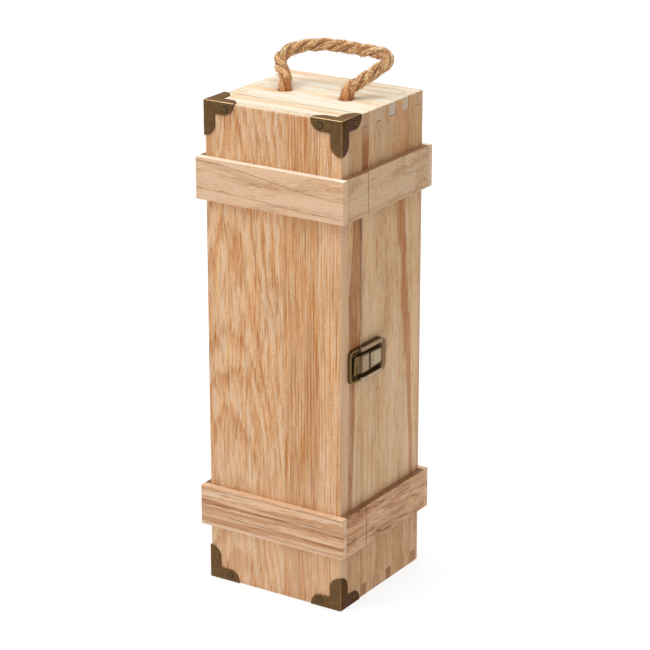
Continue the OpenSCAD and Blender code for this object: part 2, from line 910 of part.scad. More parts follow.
module rope_loop() {
    color(jute) translate([0, rope_y, rope_axis_z])
        rotate([90 - rope_lean, 0, 0])
            rope_tube(smooth_line(loop_points, loop_steps), rope_r);
}

// ---- Assembly ----

side_board_right();
side_board_left();
top_board();
bottom_board();
back_panel();
upper_band_right();
upper_band_left();
upper_band_back();
lower_band_right();
lower_band_left();
lower_band_back();
front_panel();
lid_side_right();
lid_side_left();
lid_top();
lid_bottom();
upper_band_front();
upper_band_lid_right();
upper_band_lid_left();
lower_band_front();
lower_band_lid_right();
lower_band_lid_left();
rope_loop();
rope_stop_right();
rope_stop_left();
corner_top_right();
corner_top_left();
corner_bottom_right();
corner_bottom_left();
corner_screws();
upper_hinge_body_leaf();
lower_hinge_body_leaf();
upper_hinge_lid_leaf();
lower_hinge_lid_leaf();
upper_hinge_pin();
lower_hinge_pin();
hinge_screws_body();
hinge_screws_lid();
clasp_base();
clasp_base_screws();
clasp_lever_pin();
clasp_lever();
clasp_link_pin();
clasp_hook();
clasp_strike();
clasp_strike_screws();
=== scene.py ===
"""A wooden wine box with banded sides, corner protectors, a toggle clasp and a jute handle."""

import json
import math
import random
from collections import namedtuple

import bmesh
import bpy
import numpy as np
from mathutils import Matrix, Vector, noise

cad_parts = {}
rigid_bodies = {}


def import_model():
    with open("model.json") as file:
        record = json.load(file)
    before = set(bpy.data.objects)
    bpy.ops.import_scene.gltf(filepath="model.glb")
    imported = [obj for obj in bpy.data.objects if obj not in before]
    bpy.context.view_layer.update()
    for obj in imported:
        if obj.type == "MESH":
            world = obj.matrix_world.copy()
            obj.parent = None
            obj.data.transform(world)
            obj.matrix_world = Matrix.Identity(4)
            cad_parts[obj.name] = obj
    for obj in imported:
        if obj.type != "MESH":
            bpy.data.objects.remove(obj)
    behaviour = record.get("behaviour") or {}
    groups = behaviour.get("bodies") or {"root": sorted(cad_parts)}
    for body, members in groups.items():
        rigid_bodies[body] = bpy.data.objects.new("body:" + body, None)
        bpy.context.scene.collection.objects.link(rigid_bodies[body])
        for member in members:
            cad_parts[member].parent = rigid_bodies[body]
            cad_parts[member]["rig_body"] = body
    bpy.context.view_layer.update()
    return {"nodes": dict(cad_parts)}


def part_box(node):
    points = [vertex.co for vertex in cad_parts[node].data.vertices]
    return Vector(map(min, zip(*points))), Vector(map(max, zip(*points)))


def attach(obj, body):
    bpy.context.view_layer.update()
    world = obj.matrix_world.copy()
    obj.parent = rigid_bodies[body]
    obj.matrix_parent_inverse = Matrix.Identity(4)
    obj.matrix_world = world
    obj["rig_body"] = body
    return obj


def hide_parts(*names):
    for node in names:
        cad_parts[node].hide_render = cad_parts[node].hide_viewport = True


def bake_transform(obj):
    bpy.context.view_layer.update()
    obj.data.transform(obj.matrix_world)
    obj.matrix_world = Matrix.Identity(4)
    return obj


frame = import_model()
nodes = frame["nodes"]

MM = 0.001
X, Y, Z = range(3)
LOW, HIGH = range(2)
scene = bpy.context.scene
scene.view_settings.view_transform = "Standard"
scene.view_settings.look = "None"


# ---- sizes of the box, in mm
def edge(node, axis, end):
    """Where a CAD node ends along an axis."""
    return round(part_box(node)[end][axis] / MM, 2)


HALF_W = edge("side_board_right", X, HIGH)
FACE_Y = edge("front_panel", Y, LOW)
BOX_H = edge("top_board", Z, HIGH)
BOARD_T = edge("bottom_board", Z, HIGH)
CUT_Y = (edge("lid_side_right", Y, HIGH) + edge("side_board_right", Y, LOW)) / 2
FINGER_W = 8.0
FINGER_PITCH = 16.8
FINGERS = 5
FINGER_STARTS = [edge("side_board_right", Y, LOW) + k * FINGER_PITCH for k in range(FINGERS)]
UPPER_BAND_TOP = edge("upper_band_front", Z, HIGH)
LOWER_BAND_TOP = edge("lower_band_front", Z, HIGH)
CAP_T = edge("corner_top_right", Z, HIGH) - BOX_H
CAP_SCREW_ALONG = 16.5
CAP_SCREW_IN = 4.2
CLASP_Z = (edge("clasp_base", Z, LOW) + edge("clasp_base", Z, HIGH)) / 2

# ---- camera
AZIMUTH = math.radians(32.75)
PITCH = math.radians(19.38)
backward = Vector((math.sin(AZIMUTH) * math.cos(PITCH),
                   -math.cos(AZIMUTH) * math.cos(PITCH), math.sin(PITCH)))
camera = bpy.data.objects.new("camera", bpy.data.cameras.new("camera"))
scene.collection.objects.link(camera)
camera.data.sensor_width = 36.0
camera.data.lens = 140.8
camera.data.clip_start = 0.05
camera.location = (0.910, -1.402, 0.773)
camera.rotation_mode = "QUATERNION"
camera.rotation_quaternion = (-backward).to_track_quat("-Z", "Y")
scene.camera = camera


# ---- mesh helpers
def add_object(name, data):
    """A new object in the scene, from a mesh or a light."""
    piece = bpy.data.objects.new(name, data)
    scene.collection.objects.link(piece)
    return piece


def mesh_piece(name, points, faces, material):
    """A mesh object from points in metres and lists of corner numbers."""
    mesh = bpy.data.meshes.new(name)
    mesh.from_pydata([tuple(p) for p in points], [], faces)
    mesh.update()
    mesh.materials.append(material)
    mesh.polygons.foreach_set("use_smooth", [True] * len(mesh.polygons))
    return add_object(name, mesh)


def bevel(piece, name, width, segments=2, **settings):
    """Rounds the edges that the settings pick, by a width in mm."""
    rounded = piece.modifiers.new(name, "BEVEL")
    rounded.width = width * MM
    rounded.segments = segments
    rounded.harden_normals = True
    for key, value in settings.items():
        setattr(rounded, key, value)


def smooth_line(points, step):
    """A Catmull-Rom line through the points, as points a step apart."""
    per_span = 12
    p = np.array(points, float)
    p = np.vstack([2 * p[0] - p[1], p, 2 * p[-1] - p[-2]])
    fine = []
    for i in range(1, len(p) - 2):
        for t in np.linspace(0, 1, per_span, endpoint=False):
            a, b, c, d = p[i - 1], p[i], p[i + 1], p[i + 2]
            fine.append(0.5 * (2 * b + (c - a) * t + (2 * a - 5 * b + 4 * c - d) * t ** 2
                               + (3 * b - a - 3 * c + d) * t ** 3))
    fine.append(p[-2])
    fine = np.array(fine)
    along = np.concatenate([[0], np.cumsum(np.linalg.norm(np.diff(fine, axis=0), axis=1))])
    at = np.linspace(0, along[-1], max(2, round(along[-1] / step)) + 1)
    return np.stack([np.interp(at, along, fine[:, k]) for k in range(3)], axis=1)


def carried_frames(line):
    """Tangents and two cross directions that turn as little as they can along a line."""
    tangents = np.gradient(line, axis=0)
    tangents /= np.linalg.norm(tangents, axis=1)[:, None]
    side = np.cross(tangents[0], [0.0, 1.0, 0.0])
    if np.linalg.norm(side) < 0.1:
        side = np.cross(tangents[0], [1.0, 0.0, 0.0])
    sides = []
    for t in tangents:
        side = side - t * (side @ t)
        side /= np.linalg.norm(side)
        sides.append(side)
    sides = np.array(sides)
    return tangents, sides, np.cross(tangents, sides)


# ---- rope, in mm
ROPE_R = 4.7
ROPE_PITCH = 36.0
ROOT_RISE = 15.0
STRANDS = 3
STRAND_R = 0.52
STRAND_OFF = 0.45
UV_APART = 0.7
HOLE_X = 24.5
ROPE_Y = 0.6

# The loop's points between its holes, in its own leaning plane, from a line above the top board
AXIS_Z = BOX_H + 5.0
LEAN = math.radians(52)
LOOP = [(-26, 4), (-30, 8.5), (-35, 13.5), (-38, 19), (-37, 25), (-32, 30), (-24, 33.5), (-14, 36),
        (-3, 37), (8, 37), (19, 36.5), (29, 36.5), (37, 35.5), (41.5, 32), (42, 27), (38.5, 21.5),
        (34, 15), (29.5, 8.5), (26, 4)]


def loop_point(u, v):
    """A point of the leaning loop, from its place across and its reach."""
    return (u, ROPE_Y + v * math.sin(LEAN), AXIS_Z + v * math.cos(LEAN))


def tube_faces(start, rings, sides):
    """The faces round a tube whose points lie in rings, from its first point's number on."""
    return [(start + i * sides + j, start + i * sides + (j + 1) % sides,
             start + (i + 1) * sides + (j + 1) % sides, start + (i + 1) * sides + j)
            for i in range(rings - 1) for j in range(sides)]


def strands(line, radius_at, pitch, seed, sides=18):
    """Twisted strands round a line: points, faces, UVs and how far out each point lies.

    Each strand swells, thins and drifts a little, and its yarns stand out."""
    chance = random.Random(seed)
    step = np.linalg.norm(line[1] - line[0])
    _, across, up = carried_frames(line)
    s = np.arange(len(line)) * step
    radius = np.array([radius_at(i / (len(line) - 1), line[i]) for i in range(len(line))])
    points, faces, uvs, depth = [], [], [], []
    for k in range(STRANDS):
        turn = -2 * math.pi * (s / pitch + k / STRANDS) + 0.22 * np.sin(s / 9.0 + seed)
        waves = [(chance.uniform(0.05, 0.35), chance.uniform(0, 6.28), chance.uniform(0.01, 0.026))
                 for _ in range(5)]
        lump = 1 + sum(a * np.sin(f * s * 2 + p) for f, p, a in waves)
        drift = sum(0.5 * a * np.sin(f * s + p) for f, p, a in waves)
        off = (radius * STRAND_OFF * (1 + drift))[:, None]
        centre = line + off * (np.cos(turn)[:, None] * across + np.sin(turn)[:, None] * up)
        _, strand_side, strand_up = carried_frames(centre)
        start = len(points)
        for i in range(len(line)):
            for j in range(sides):
                around = 2 * math.pi * j / sides
                yarn = 1 + 0.04 * math.cos(6 * around + s[i] * 0.7) + 0.02 * chance.uniform(-1, 1)
                out = math.cos(around) * strand_side[i] + math.sin(around) * strand_up[i]
                lay = around + s[i] * 0.12
                rough = noise.noise(Vector((s[i] * 0.5, 4 * math.cos(lay), 4 * math.sin(lay) + 9 * k + seed)))
                p = centre[i] + radius[i] * STRAND_R * lump[i] * (yarn + 0.13 * rough) * out
                points.append(p)
                depth.append(np.linalg.norm(p - line[i]) / radius[i])
        faces += tube_faces(start, len(line), sides)
        u = s * MM + k * UV_APART
        for u0, u1 in zip(u, u[1:]):
            for j in range(sides):
                v0, v1 = j / sides, (j + 1) / sides
                uvs += [(u0, v0), (u0, v1), (u1, v1), (u1, v0)]
        for end, ring in ((0, range(sides - 1, -1, -1)), (len(line) - 1, range(sides))):
            faces.append(tuple(start + end * sides + j for j in ring))
            uvs += [(u[end], j / sides) for j in ring]
    return points, faces, uvs, depth


def mark_points(piece, uvs, depth):
    """Keeps what the colour needs: UVs, how far out each point lies, and how near it is to the box."""
    layer = piece.data.uv_layers.new(name="UVMap")
    layer.data.foreach_set("uv", [c for uv in uvs for c in uv])
    rises = [(v.co.z / MM - BOX_H) / ROOT_RISE for v in piece.data.vertices]
    for name, values in (("crevice", depth), ("root", [min(max(1.0 - rise, 0.0), 1.0) for rise in rises])):
        kept = piece.data.attributes.new(name, "FLOAT", "POINT")
        kept.data.foreach_set("value", values)


def rope_piece(name, parts):
    """One mesh of jute from several sets of strands, with their UVs and depths."""
    points, faces, uvs, depth = [], [], [], []
    for p, f, u, d in parts:
        faces += [tuple(c + len(points) for c in face) for face in f]
        points += [q * MM for q in p]
        uvs += u
        depth += d
    piece = mesh_piece(name, points, faces, JUTE)
    mark_points(piece, uvs, depth)
    return piece


def fibres(name, roots, seed, longest, lift=0.8):
    """Loose fibres of jute: thin closed tubes that leave the rope's surface and curl."""
    rings, sides = 6, 3
    sunk = 0.3
    chance = random.Random(seed)
    points, faces, uvs = [], [], []
    for root, out, along in roots:
        length = longest * chance.uniform(0.3, 1.0) ** 1.5
        thick = chance.uniform(0.07, 0.13)
        heading = out * chance.uniform(0.15, lift) + along * chance.choice([-1, 1]) * chance.uniform(0.6, 1.2)
        heading += np.array([chance.uniform(-0.4, 0.4) for _ in range(3)])
        curl = np.array([chance.uniform(-0.5, 0.5) for _ in range(3)])
        p = root - out * sunk
        start = len(points)
        for i in range(rings):
            heading /= np.linalg.norm(heading)
            side = np.cross(heading, [0.3, 0.5, 0.8])
            side /= np.linalg.norm(side)
            up = np.cross(heading, side)
            r = thick * (1 - 0.75 * i / (rings - 1))
            for j in range(sides):
                a = 2 * math.pi * j / sides
                points.append((p + r * (math.cos(a) * side + math.sin(a) * up)) * MM)
            p = p + heading * length / rings
            heading = heading + curl * 0.6
        faces += tube_faces(start, rings, sides)
        faces.append((start + 2, start + 1, start))
        faces.append(tuple(start + (rings - 1) * sides + j for j in range(sides)))
        uvs += [(chance.random(), 0.5)] * (4 * sides * (rings - 1) + 2 * sides)
    piece = mesh_piece(name, points, faces, JUTE)
    mark_points(piece, uvs, [1.0] * len(points))
    return piece


def surface_roots(line, radius, count, seed, low=0.0, high=1.0):
    """Places on a rope's surface: the point, the way out and the way along."""
    chance = random.Random(seed)
    tangents, across, up = carried_frames(line)
    roots = []
    for _ in range(count):
        i = int(chance.uniform(low, high) * (len(line) - 1))
        a = chance.uniform(0, 2 * math.pi)
        out = math.cos(a) * across[i] + math.sin(a) * up[i]
        roots.append((line[i] + out * radius, out, tangents[i]))
    return roots


# ---- materials
def rgb(r, g, b):
    """A colour given in screen values from 0 to 255, as Blender wants it."""
    def one(c):
        c /= 255
        return c / 12.92 if c <= 0.04045 else ((c + 0.055) / 1.055) ** 2.4
    return (one(r), one(g), one(b), 1.0)


class Paint:
    """A material's nodes, with one short call for each kind that the scene needs."""

    def __init__(self, name):
        self.material = bpy.data.materials.new(name)
        self.material.use_nodes = True
        self.tree = self.material.node_tree
        self.shader = self.tree.nodes["Principled BSDF"]

    def node(self, kind, **settings):
        made = self.tree.nodes.new("ShaderNode" + kind)
        for key, value in settings.items():
            setattr(made, key, value)
        return made

    def put(self, socket, value):
        if isinstance(value, bpy.types.NodeSocket):
            self.tree.links.new(value, socket)
        else:
            socket.default_value = value

    def wired(self, kind, *values, **settings):
        """The outputs of a new node, with values on its first sockets."""
        made = self.node(kind, **settings)
        for socket, value in zip(made.inputs, values):
            self.put(socket, value)
        return made.outputs

    def math(self, operation, *values):
        return self.wired("Math", *values, operation=operation)[0]

    def plus(self, first, second):
        return self.math("ADD", first, second)

    def minus(self, first, second):
        return self.math("SUBTRACT", first, second)

    def times(self, first, second):
        return self.math("MULTIPLY", first, second)

    def times_plus(self, first, second, third):
        """first times second, and third added."""
        return self.math("MULTIPLY_ADD", first, second, third)

    def off(self, place, centre):
        """How far a number lies from a centre."""
        return self.math("ABSOLUTE", self.minus(place, centre))

    def vector(self, operation, *values):
        return self.wired("VectorMath", *values, operation=operation)["Vector"]

    def join(self, x, y, z):
        return self.wired("CombineXYZ", x, y, z)[0]

    def length(self, x, y):
        """How long the vector is that has these two parts."""
        return self.wired("VectorMath", self.join(x, y, 0.0), operation="LENGTH")["Value"]

    def split(self, vector):
        return self.wired("SeparateXYZ", vector)[:3]

    def fill(self, node, **values):
        """Sets a node's inputs by name, where an underscore is a blank."""
        for name, value in values.items():
            self.put(node.inputs[name.replace("_", " ")], value)
        return node

    def noise(self, vector, scale, detail=2.0, roughness=0.5, distortion=0.0):
        made = self.node("TexNoise", noise_dimensions="3D")
        self.fill(made, Vector=self.vector("MULTIPLY", vector, scale), Scale=1.0, Detail=detail,
                  Roughness=roughness, Distortion=distortion)
        return made.outputs["Fac"]

    def ease(self, value, low, high, first=0.0, last=1.0):
        """first below low, last above high, and smooth between them."""
        made = self.node("MapRange", interpolation_type="SMOOTHSTEP")
        self.fill(made, Value=value, From_Min=low, From_Max=high, To_Min=first, To_Max=last)
        return made.outputs[0]

    def mix(self, share, first, second, blend="MIX"):
        made = self.node("Mix", data_type="RGBA", blend_type=blend)
        made.clamp_factor = True
        self.put(made.inputs[0], share)
        self.put(made.inputs[6], first)
        self.put(made.inputs[7], second)
        return made.outputs[2]

    def follow(self, at, points):
        """A number that eases from each given value to the next as at passes the given places.

        A plain number in place of the pairs stays as it is."""
        if isinstance(points, float):
            return points
        value = points[0][1]
        for (place0, value0), (place1, value1) in zip(points, points[1:]):
            value = self.plus(self.ease(at, place0, place1, 0.0, value1 - value0), value)
        return value

    def bump(self, height, strength, distance):
        made = self.fill(self.node("Bump"), Strength=strength, Distance=distance, Height=height)
        self.put(self.shader.inputs["Normal"], made.outputs[0])

    def finish(self, **values):
        """The material, with its shader's inputs set by name."""
        self.fill(self.shader, **values)
        return self.material


# Parts of a material that lie at a place of their own. Sizes are in mm, and share is how strong a shade is.
# What a stripe's centres, halves and shares say is one number, or (place, value) pairs along its long axis.
Stripe = namedtuple("Stripe", "wide long centres halves soft shares shade")
Mark = namedtuple("Mark", "axis where half share low_axis low high")
Face = namedtuple("Face", "axis sign share shade")
EndTone = namedtuple("EndTone", "axis centre half share shade")
Zone = namedtuple("Zone", "axis low high soft share shade")

TO_MM = (1000, 1000, 1000)
REDDER = (1.03, 0.9, 0.7, 1.0)
GREYER = (0.96, 1.06, 1.2, 1.0)
NEXT_STAVE = (0.0, 0.0, 431.0)
HUE_APART = (31.0, 17.0, 90.0)
WOOD_ROUGHNESS = 0.62
# Painted shadow: the colour of the dark lines where boards meet, standing for the shade in the joints' gaps
JOINT_GAP_SHADOW = rgb(92, 58, 34)


def tint_faces(p, colour, normal, faces, low):
    """Gives another colour to the faces that look along one axis."""
    for axis, sign, share, shade in faces:
        turned = p.ease(p.times(normal[axis], sign), low, 0.85, 0.0, share)
        colour = p.mix(turned, colour, shade)
    return colour


def figure(p, place, streak, pith=(10, 60), ring=4.0, slope=0.0, warp=6.0, feather=1.5,
           late=(0.3, 0.85), ring_share=0.35, flame=(0.09, 0.022), flame_share=0.45, flame_edge=0.64,
           tone=0.0, dash=(1.0, 0.07), dash_share=0.35, weave=4.0):
    """How dark planed wood is, from 0 to 1, and its dashes alone.

    Yearly rings lie round the pith, ring mm apart, and late is the dark part of each. slope leans
    them along the board, and warp and feather bend and fray them. Flames are broad blots, dashes are
    short pores, and both say how fine they are across and along the grain."""
    across, other, along = p.split(place)
    sway = p.noise(place, (0.02, 0.02, 0.008))
    from_pith = p.length(p.minus(across, pith[0]), p.minus(other, pith[1]))
    reach = p.times_plus(along, slope, from_pith)
    reach = p.times_plus(sway, 2 * warp, reach)
    reach = p.times_plus(streak, 2 * feather, reach)
    phase = p.math("FRACT", p.math("DIVIDE", reach, ring))
    rings = p.times(p.ease(phase, late[0], late[1]), p.ease(phase, 0.92, 1.0, 1.0, 0.0))
    blot = p.noise(place, (flame[0], flame[0], flame[1]), distortion=0.8)
    flames = p.ease(p.times_plus(streak, 0.4, blot), flame_edge, flame_edge + 0.18)
    darkness = p.times_plus(rings, ring_share, tone)
    darkness = p.times_plus(flames, flame_share, darkness)
    bend = p.noise(place, (0.06, 0.06, 0.022), detail=1.0)
    bent = p.join(p.times_plus(bend, 2 * weave, across), other, along)
    dashes = p.ease(p.noise(bent, (dash[0], dash[0], dash[1]), roughness=0.6), 0.5, 0.61)
    weight = p.times_plus(darkness, 0.9, 0.4)
    return p.times_plus(p.times(dashes, weight), dash_share, darkness), dashes


def stripe_share(p, stripe, true, streak, dash):
    """How much a stripe covers: its borders wander with the streaks, and its middle is uneven."""
    soft = stripe.soft
    run = true[stripe.long]
    wander = p.times_plus(streak, 2.5 * soft, -1.25 * soft)
    off = p.off(p.plus(true[stripe.wide], wander), p.follow(run, stripe.centres))
    mask = p.ease(p.minus(off, p.follow(run, stripe.halves)), -soft, soft, 1.0, 0.0)
    mask = p.times(mask, p.follow(run, stripe.shares))
    uneven = p.times(p.ease(dash, 0.0, 1.0, 0.9, 1.05), p.ease(streak, 0.38, 0.62, 1.12, 0.62))
    return p.times(mask, uneven)


def mark_share(p, mark, true):
    """How much a short, straight line covers."""
    mask = p.ease(p.off(true[mark.axis], mark.where), mark.half * 0.4, mark.half, mark.share, 0.0)
    above = p.math("GREATER_THAN", true[mark.low_axis], mark.low)
    below = p.math("LESS_THAN", true[mark.low_axis], mark.high)
    return p.times(mask, p.times(above, below))


def wood(name, grain, light, mid, dark, end, dashes, shift=(0, 0, 0), tilt=(0, 0, 0), staves=({},),
         seams=(), dash_share=0.35, stripes=(), marks=(), faces=(), ends=(), end_dark=0.35,
         end_share=1.0, stipple=0.0, blush=0.4):
    """Planed softwood. grain is the axis that its fibres run along, and tilt is in degrees.

    staves holds each glued-up strip's figure, and seams the places between them. marks are lines where
    two boards meet, and ends gives another colour to parts of a cut end. stipple is how strong the open
    pores are, and blush how far the streaks stray to a redder or a greyer tone."""
    p = Paint(name)
    at = p.node("TexCoord")
    mapped = p.fill(p.node("Mapping"), Vector=at.outputs["Object"], Scale=TO_MM, Location=shift,
                    Rotation=[math.radians(a) for a in tilt])
    x, y, z = p.split(mapped.outputs[0])
    true = p.split(p.vector("MULTIPLY", at.outputs["Object"], TO_MM))
    across, other, along = {X: (y, z, x), Y: (z, x, y), Z: (x, y, z)}[grain]
    place = p.join(across, other, along)

    # How dark the wood is: the figure of each strip, then fine hairs and pores
    streak = p.noise(place, (0.45, 0.45, 0.03), detail=4.0, roughness=0.65)
    fine = dict(dash=dashes, dash_share=dash_share)
    darkness, dash = figure(p, place, streak, **{**fine, **staves[0]})
    for seam, stave in zip(seams, staves[1:]):
        past = p.math("GREATER_THAN", across, seam)
        beyond, _ = figure(p, p.vector("ADD", place, NEXT_STAVE), streak, **{**fine, **stave})
        darkness = p.times(p.minus(1.0, past), darkness)
        darkness = p.times_plus(past, beyond, darkness)
    hair = p.noise(place, (2.3, 2.3, 0.12), detail=1.0)
    darkness = p.plus(darkness, p.ease(hair, 0.3, 0.7, -0.12, 0.12))
    if stipple:
        dots = p.noise(place, (1.1, 1.1, 0.8), roughness=0.6)
        darkness = p.plus(darkness, p.ease(dots, 0.35, 0.65, -stipple, stipple))

    # The colour of the long grain
    colour = p.mix(p.ease(darkness, 0.0, 0.5), light, mid)
    colour = p.mix(p.ease(darkness, 0.5, 1.0), colour, dark)
    hue = p.noise(p.vector("ADD", place, HUE_APART), (0.42, 0.42, 0.022), detail=3.0, roughness=0.7)
    colour = p.mix(p.ease(hue, 0.5, 0.64, 0.0, blush), colour, REDDER, "MULTIPLY")
    colour = p.mix(p.ease(hue, 0.36, 0.5, blush, 0.0), colour, GREYER, "MULTIPLY")
    for stripe in stripes:
        colour = p.mix(stripe_share(p, stripe, true, streak, dash), colour, stripe.shade)
    # Painted shadow in the gaps of the joints, along the marks
    for mark in marks:
        colour = p.mix(mark_share(p, mark, true), colour, JOINT_GAP_SHADOW)
    normal = p.split(at.outputs["Normal"])
    # Tints by the way a face looks: on the bands' ledges these are a painted highlight and painted shade
    colour = tint_faces(p, colour, normal, faces, 0.6)

    # Cut ends show the rings and open pores
    cut = p.ease(p.math("ABSOLUTE", normal[grain]), 0.6, 0.8, 0.0, end_share)
    pores = p.noise(place, (1.6, 1.6, 0.2), detail=3.0, roughness=0.7)
    end_colour = p.mix(p.ease(pores, 0.45, 0.7, 0.0, end_dark), end, dark)
    end_colour = p.mix(p.ease(darkness, 0.3, 0.7, 0.0, 0.4), end_colour, dark)
    for axis, centre, half, share, shade in ends:
        inside = p.ease(p.off(true[axis], centre), half - 0.5, half, share, 0.0)
        end_colour = p.mix(inside, end_colour, shade)
    p.bump(p.minus(p.times(hair, 0.5), p.times(dash, 0.5)), strength=0.2, distance=0.1 * MM)
    rough = p.ease(dash, 0.0, 1.0, WOOD_ROUGHNESS - 0.06, WOOD_ROUGHNESS + 0.06)
    return p.finish(Base_Color=p.mix(cut, colour, end_colour), Roughness=rough, Specular_IOR_Level=0.28)


def from_cap_screw(p, true):
    """How far a place is from the axis of the nearest screw in a corner protector."""
    x, y, z = true
    high = p.math("GREATER_THAN", z, BOX_H / 2)
    from_top = p.times(high, p.minus(BOX_H, z))
    from_foot = p.times(p.minus(1.0, high), p.minus(z, CAP_T))
    up = p.minus(p.plus(from_top, from_foot), CAP_SCREW_IN)
    along_front = p.minus(p.math("ABSOLUTE", x), HALF_W - CAP_SCREW_ALONG)
    along_flank = p.minus(y, FACE_Y + CAP_SCREW_ALONG)
    return p.math("MINIMUM", p.length(along_front, up), p.length(along_flank, up))


def metal(name, base, bright, roughness=0.36, speck=0.35, scale=1.0, screws=False, faces=(), zones=(),
          metallic=0.85, tint=rgb(236, 214, 184)):
    """Antiqued metal: a brown skin, uneven and scuffed down to a brighter tone.

    zones gives another colour to what lies between two places on one axis, and faces to the faces that
    look along one axis; most finishes below use faces, and some zones, for painted light and shade.
    screws paints shade into the seats and recesses of the corner protectors' screws, and a lighter rim on
    their heads."""
    p = Paint(name)
    at = p.node("TexCoord")
    place = p.vector("MULTIPLY", at.outputs["Object"], TO_MM)
    true = p.split(place)
    cloud = p.noise(place, (0.25 * scale,) * 3, detail=4.0, roughness=0.6)
    grit = p.noise(place, (1.5 * scale,) * 3, detail=3.0, roughness=0.7)
    brushed = p.noise(place, (0.4, 0.4, 5.0))
    colour = p.mix(p.ease(cloud, 0.35, 0.7, 0.0, 0.55), base, bright)
    for axis, low, high, soft, share, shade in zones:
        past_low = p.ease(true[axis], low - soft, low + soft)
        inside = p.times(past_low, p.ease(true[axis], high - soft, high + soft, share, 0.0))
        colour = p.mix(inside, colour, shade)
    colour = tint_faces(p, colour, p.split(at.outputs["Normal"]), faces, 0.35)
    dark = tuple(c * 0.45 for c in base[:3]) + (1.0,)
    colour = p.mix(p.ease(grit, 0.5, 0.72, 0.0, speck), colour, dark)
    colour = p.mix(p.ease(brushed, 0.45, 0.8, 0.0, 0.2), colour, bright)
    if screws:
        # From outside in: painted shade in the seat, the rim of the head lighter as worn metal and a painted
        # highlight, and painted shade in its recess
        ring = from_cap_screw(p, true)
        colour = p.mix(p.ease(ring, 2.0, 3.1, 0.75, 0.0), colour, dark)
        rim = p.times(p.ease(ring, 0.5, 0.9), p.ease(ring, 1.3, 1.75, 0.55, 0.0))
        colour = p.mix(rim, colour, rgb(158, 130, 96))
        colour = p.mix(p.ease(ring, 0.35, 0.8, 0.9, 0.0), colour, rgb(38, 28, 20))
    p.bump(p.plus(grit, p.times(cloud, 0.5)), strength=0.3, distance=0.06 * MM)
    rough = p.ease(grit, 0.3, 0.7, roughness - 0.08, roughness + 0.12)
    return p.finish(Base_Color=colour, Metallic=metallic, Specular_Tint=tint, Roughness=rough)


def jute(name):
    """Twisted jute: fine yarns, pale on the crowns, with painted shade in the grooves.

    u runs along a strand in metres and v once round it, as the strands lay them out."""
    strand_r = 2.2
    yarn_gap = 2.4
    p = Paint(name)
    u, v, _ = p.split(p.node("UVMap", uv_map="UVMap").outputs[0])
    angle = p.times(v, 2 * math.pi)
    place = p.join(p.times(u, 1000.0), p.times(p.math("COSINE", angle), strand_r),
                   p.times(p.math("SINE", angle), strand_r))
    # The yarns lie aslant round each strand, and waver
    slant = p.times_plus(u, -420.0, p.times(v, 24.0))
    turn = p.times(slant, 2 * math.pi / yarn_gap)
    turn = p.plus(turn, p.times(p.noise(place, (0.3, 0.6, 0.6)), 5.0))
    yarn = p.times_plus(p.math("SINE", turn), 0.5, 0.5)
    fibre = p.noise(place, (0.4, 1.1, 1.1), detail=4.0, roughness=0.8, distortion=0.8)
    patch = p.noise(place, (0.12, 0.3, 0.3), detail=3.0)
    stain = p.noise(place, (0.16, 0.24, 0.24))
    depth = p.node("Attribute", attribute_name="crevice").outputs["Fac"]
    root = p.node("Attribute", attribute_name="root").outputs["Fac"]
    colour = p.mix(p.ease(fibre, 0.43, 0.57), rgb(170, 98, 46), rgb(255, 234, 182))
    colour = p.mix(p.ease(patch, 0.42, 0.62, 0.0, 0.4), colour, rgb(242, 172, 110))
    colour = p.mix(p.ease(stain, 0.5, 0.64, 0.0, 0.5), colour, rgb(146, 82, 38))
    # Painted shade: darker in the grooves between the yarns, and darker still deep between the strands
    colour = p.mix(p.ease(yarn, 0.0, 0.45, 0.2, 0.0), colour, rgb(150, 94, 52))
    colour = p.mix(p.ease(depth, 0.58, 0.88, 0.75, 0.0), colour, rgb(126, 64, 24))
    colour = p.mix(p.ease(root, 0.0, 1.0, 0.0, 0.5), colour, rgb(204, 114, 56))
    p.bump(p.plus(fibre, p.times(yarn, 0.6)), strength=0.9, distance=0.5 * MM)
    return p.finish(Base_Color=colour, Roughness=0.85, Specular_IOR_Level=0.2, Sheen_Weight=0.1,
                    Sheen_Roughness=0.5)


JUTE = jute("jute")

# ---- the rope handle
HOLE_RISES = (-15, -9, -3, 1)
up_hole = [(-HOLE_X, ROPE_Y, BOX_H + rise) for rise in HOLE_RISES]
loop = [loop_point(u, v) for u, v in LOOP]
down_hole = [(-x, y, z) for x, y, z in reversed(up_hole)]
rope_line = smooth_line(up_hole + loop + down_hole, 0.7)
SHOWN = dict(low=0.07, high=0.93)
SWELL_Z = BOX_H + 2.5
SWELL_H = 2.2


def rope_radius(share, point):
    """The rope's radius at a point of its line: a little more just above the holes."""
    swell = math.exp(-((point[Z] - SWELL_Z) / SWELL_H) ** 2)
    return ROPE_R * (0.98 + 0.05 * swell)


rope = rope_piece("jute_handle", [strands(rope_line, rope_radius, ROPE_PITCH, seed=4)])
rope_roots = surface_roots(rope_line, ROPE_R * 0.9, count=1300, seed=11, **SHOWN)
# A few more near the two holes
rope_roots += surface_roots(rope_line, ROPE_R * 0.95, count=70, seed=12, low=0.885, high=0.93)
rope_roots += surface_roots(rope_line, ROPE_R * 0.95, count=40, seed=13, low=0.07, high=0.10)
fuzz = fibres("jute_fibres", rope_roots, seed=5, longest=6.0)
nap_roots = surface_roots(rope_line, ROPE_R * 0.93, count=1500, seed=14, **SHOWN)
nap = fibres("jute_nap", nap_roots, seed=6, longest=2.6, lift=1.6)

KNOT_TOP = BOX_H - 12.0
KNOT_R = 5.5
KNOT_FALL = 7.0
KNOT_SWEEP = 3.4 * math.pi
KNOT_STEP = 0.9
KNOT_POINTS = 26
WRAP_R = 3.1
WRAP_PITCH = 20.0
TAIL_R = 4.2

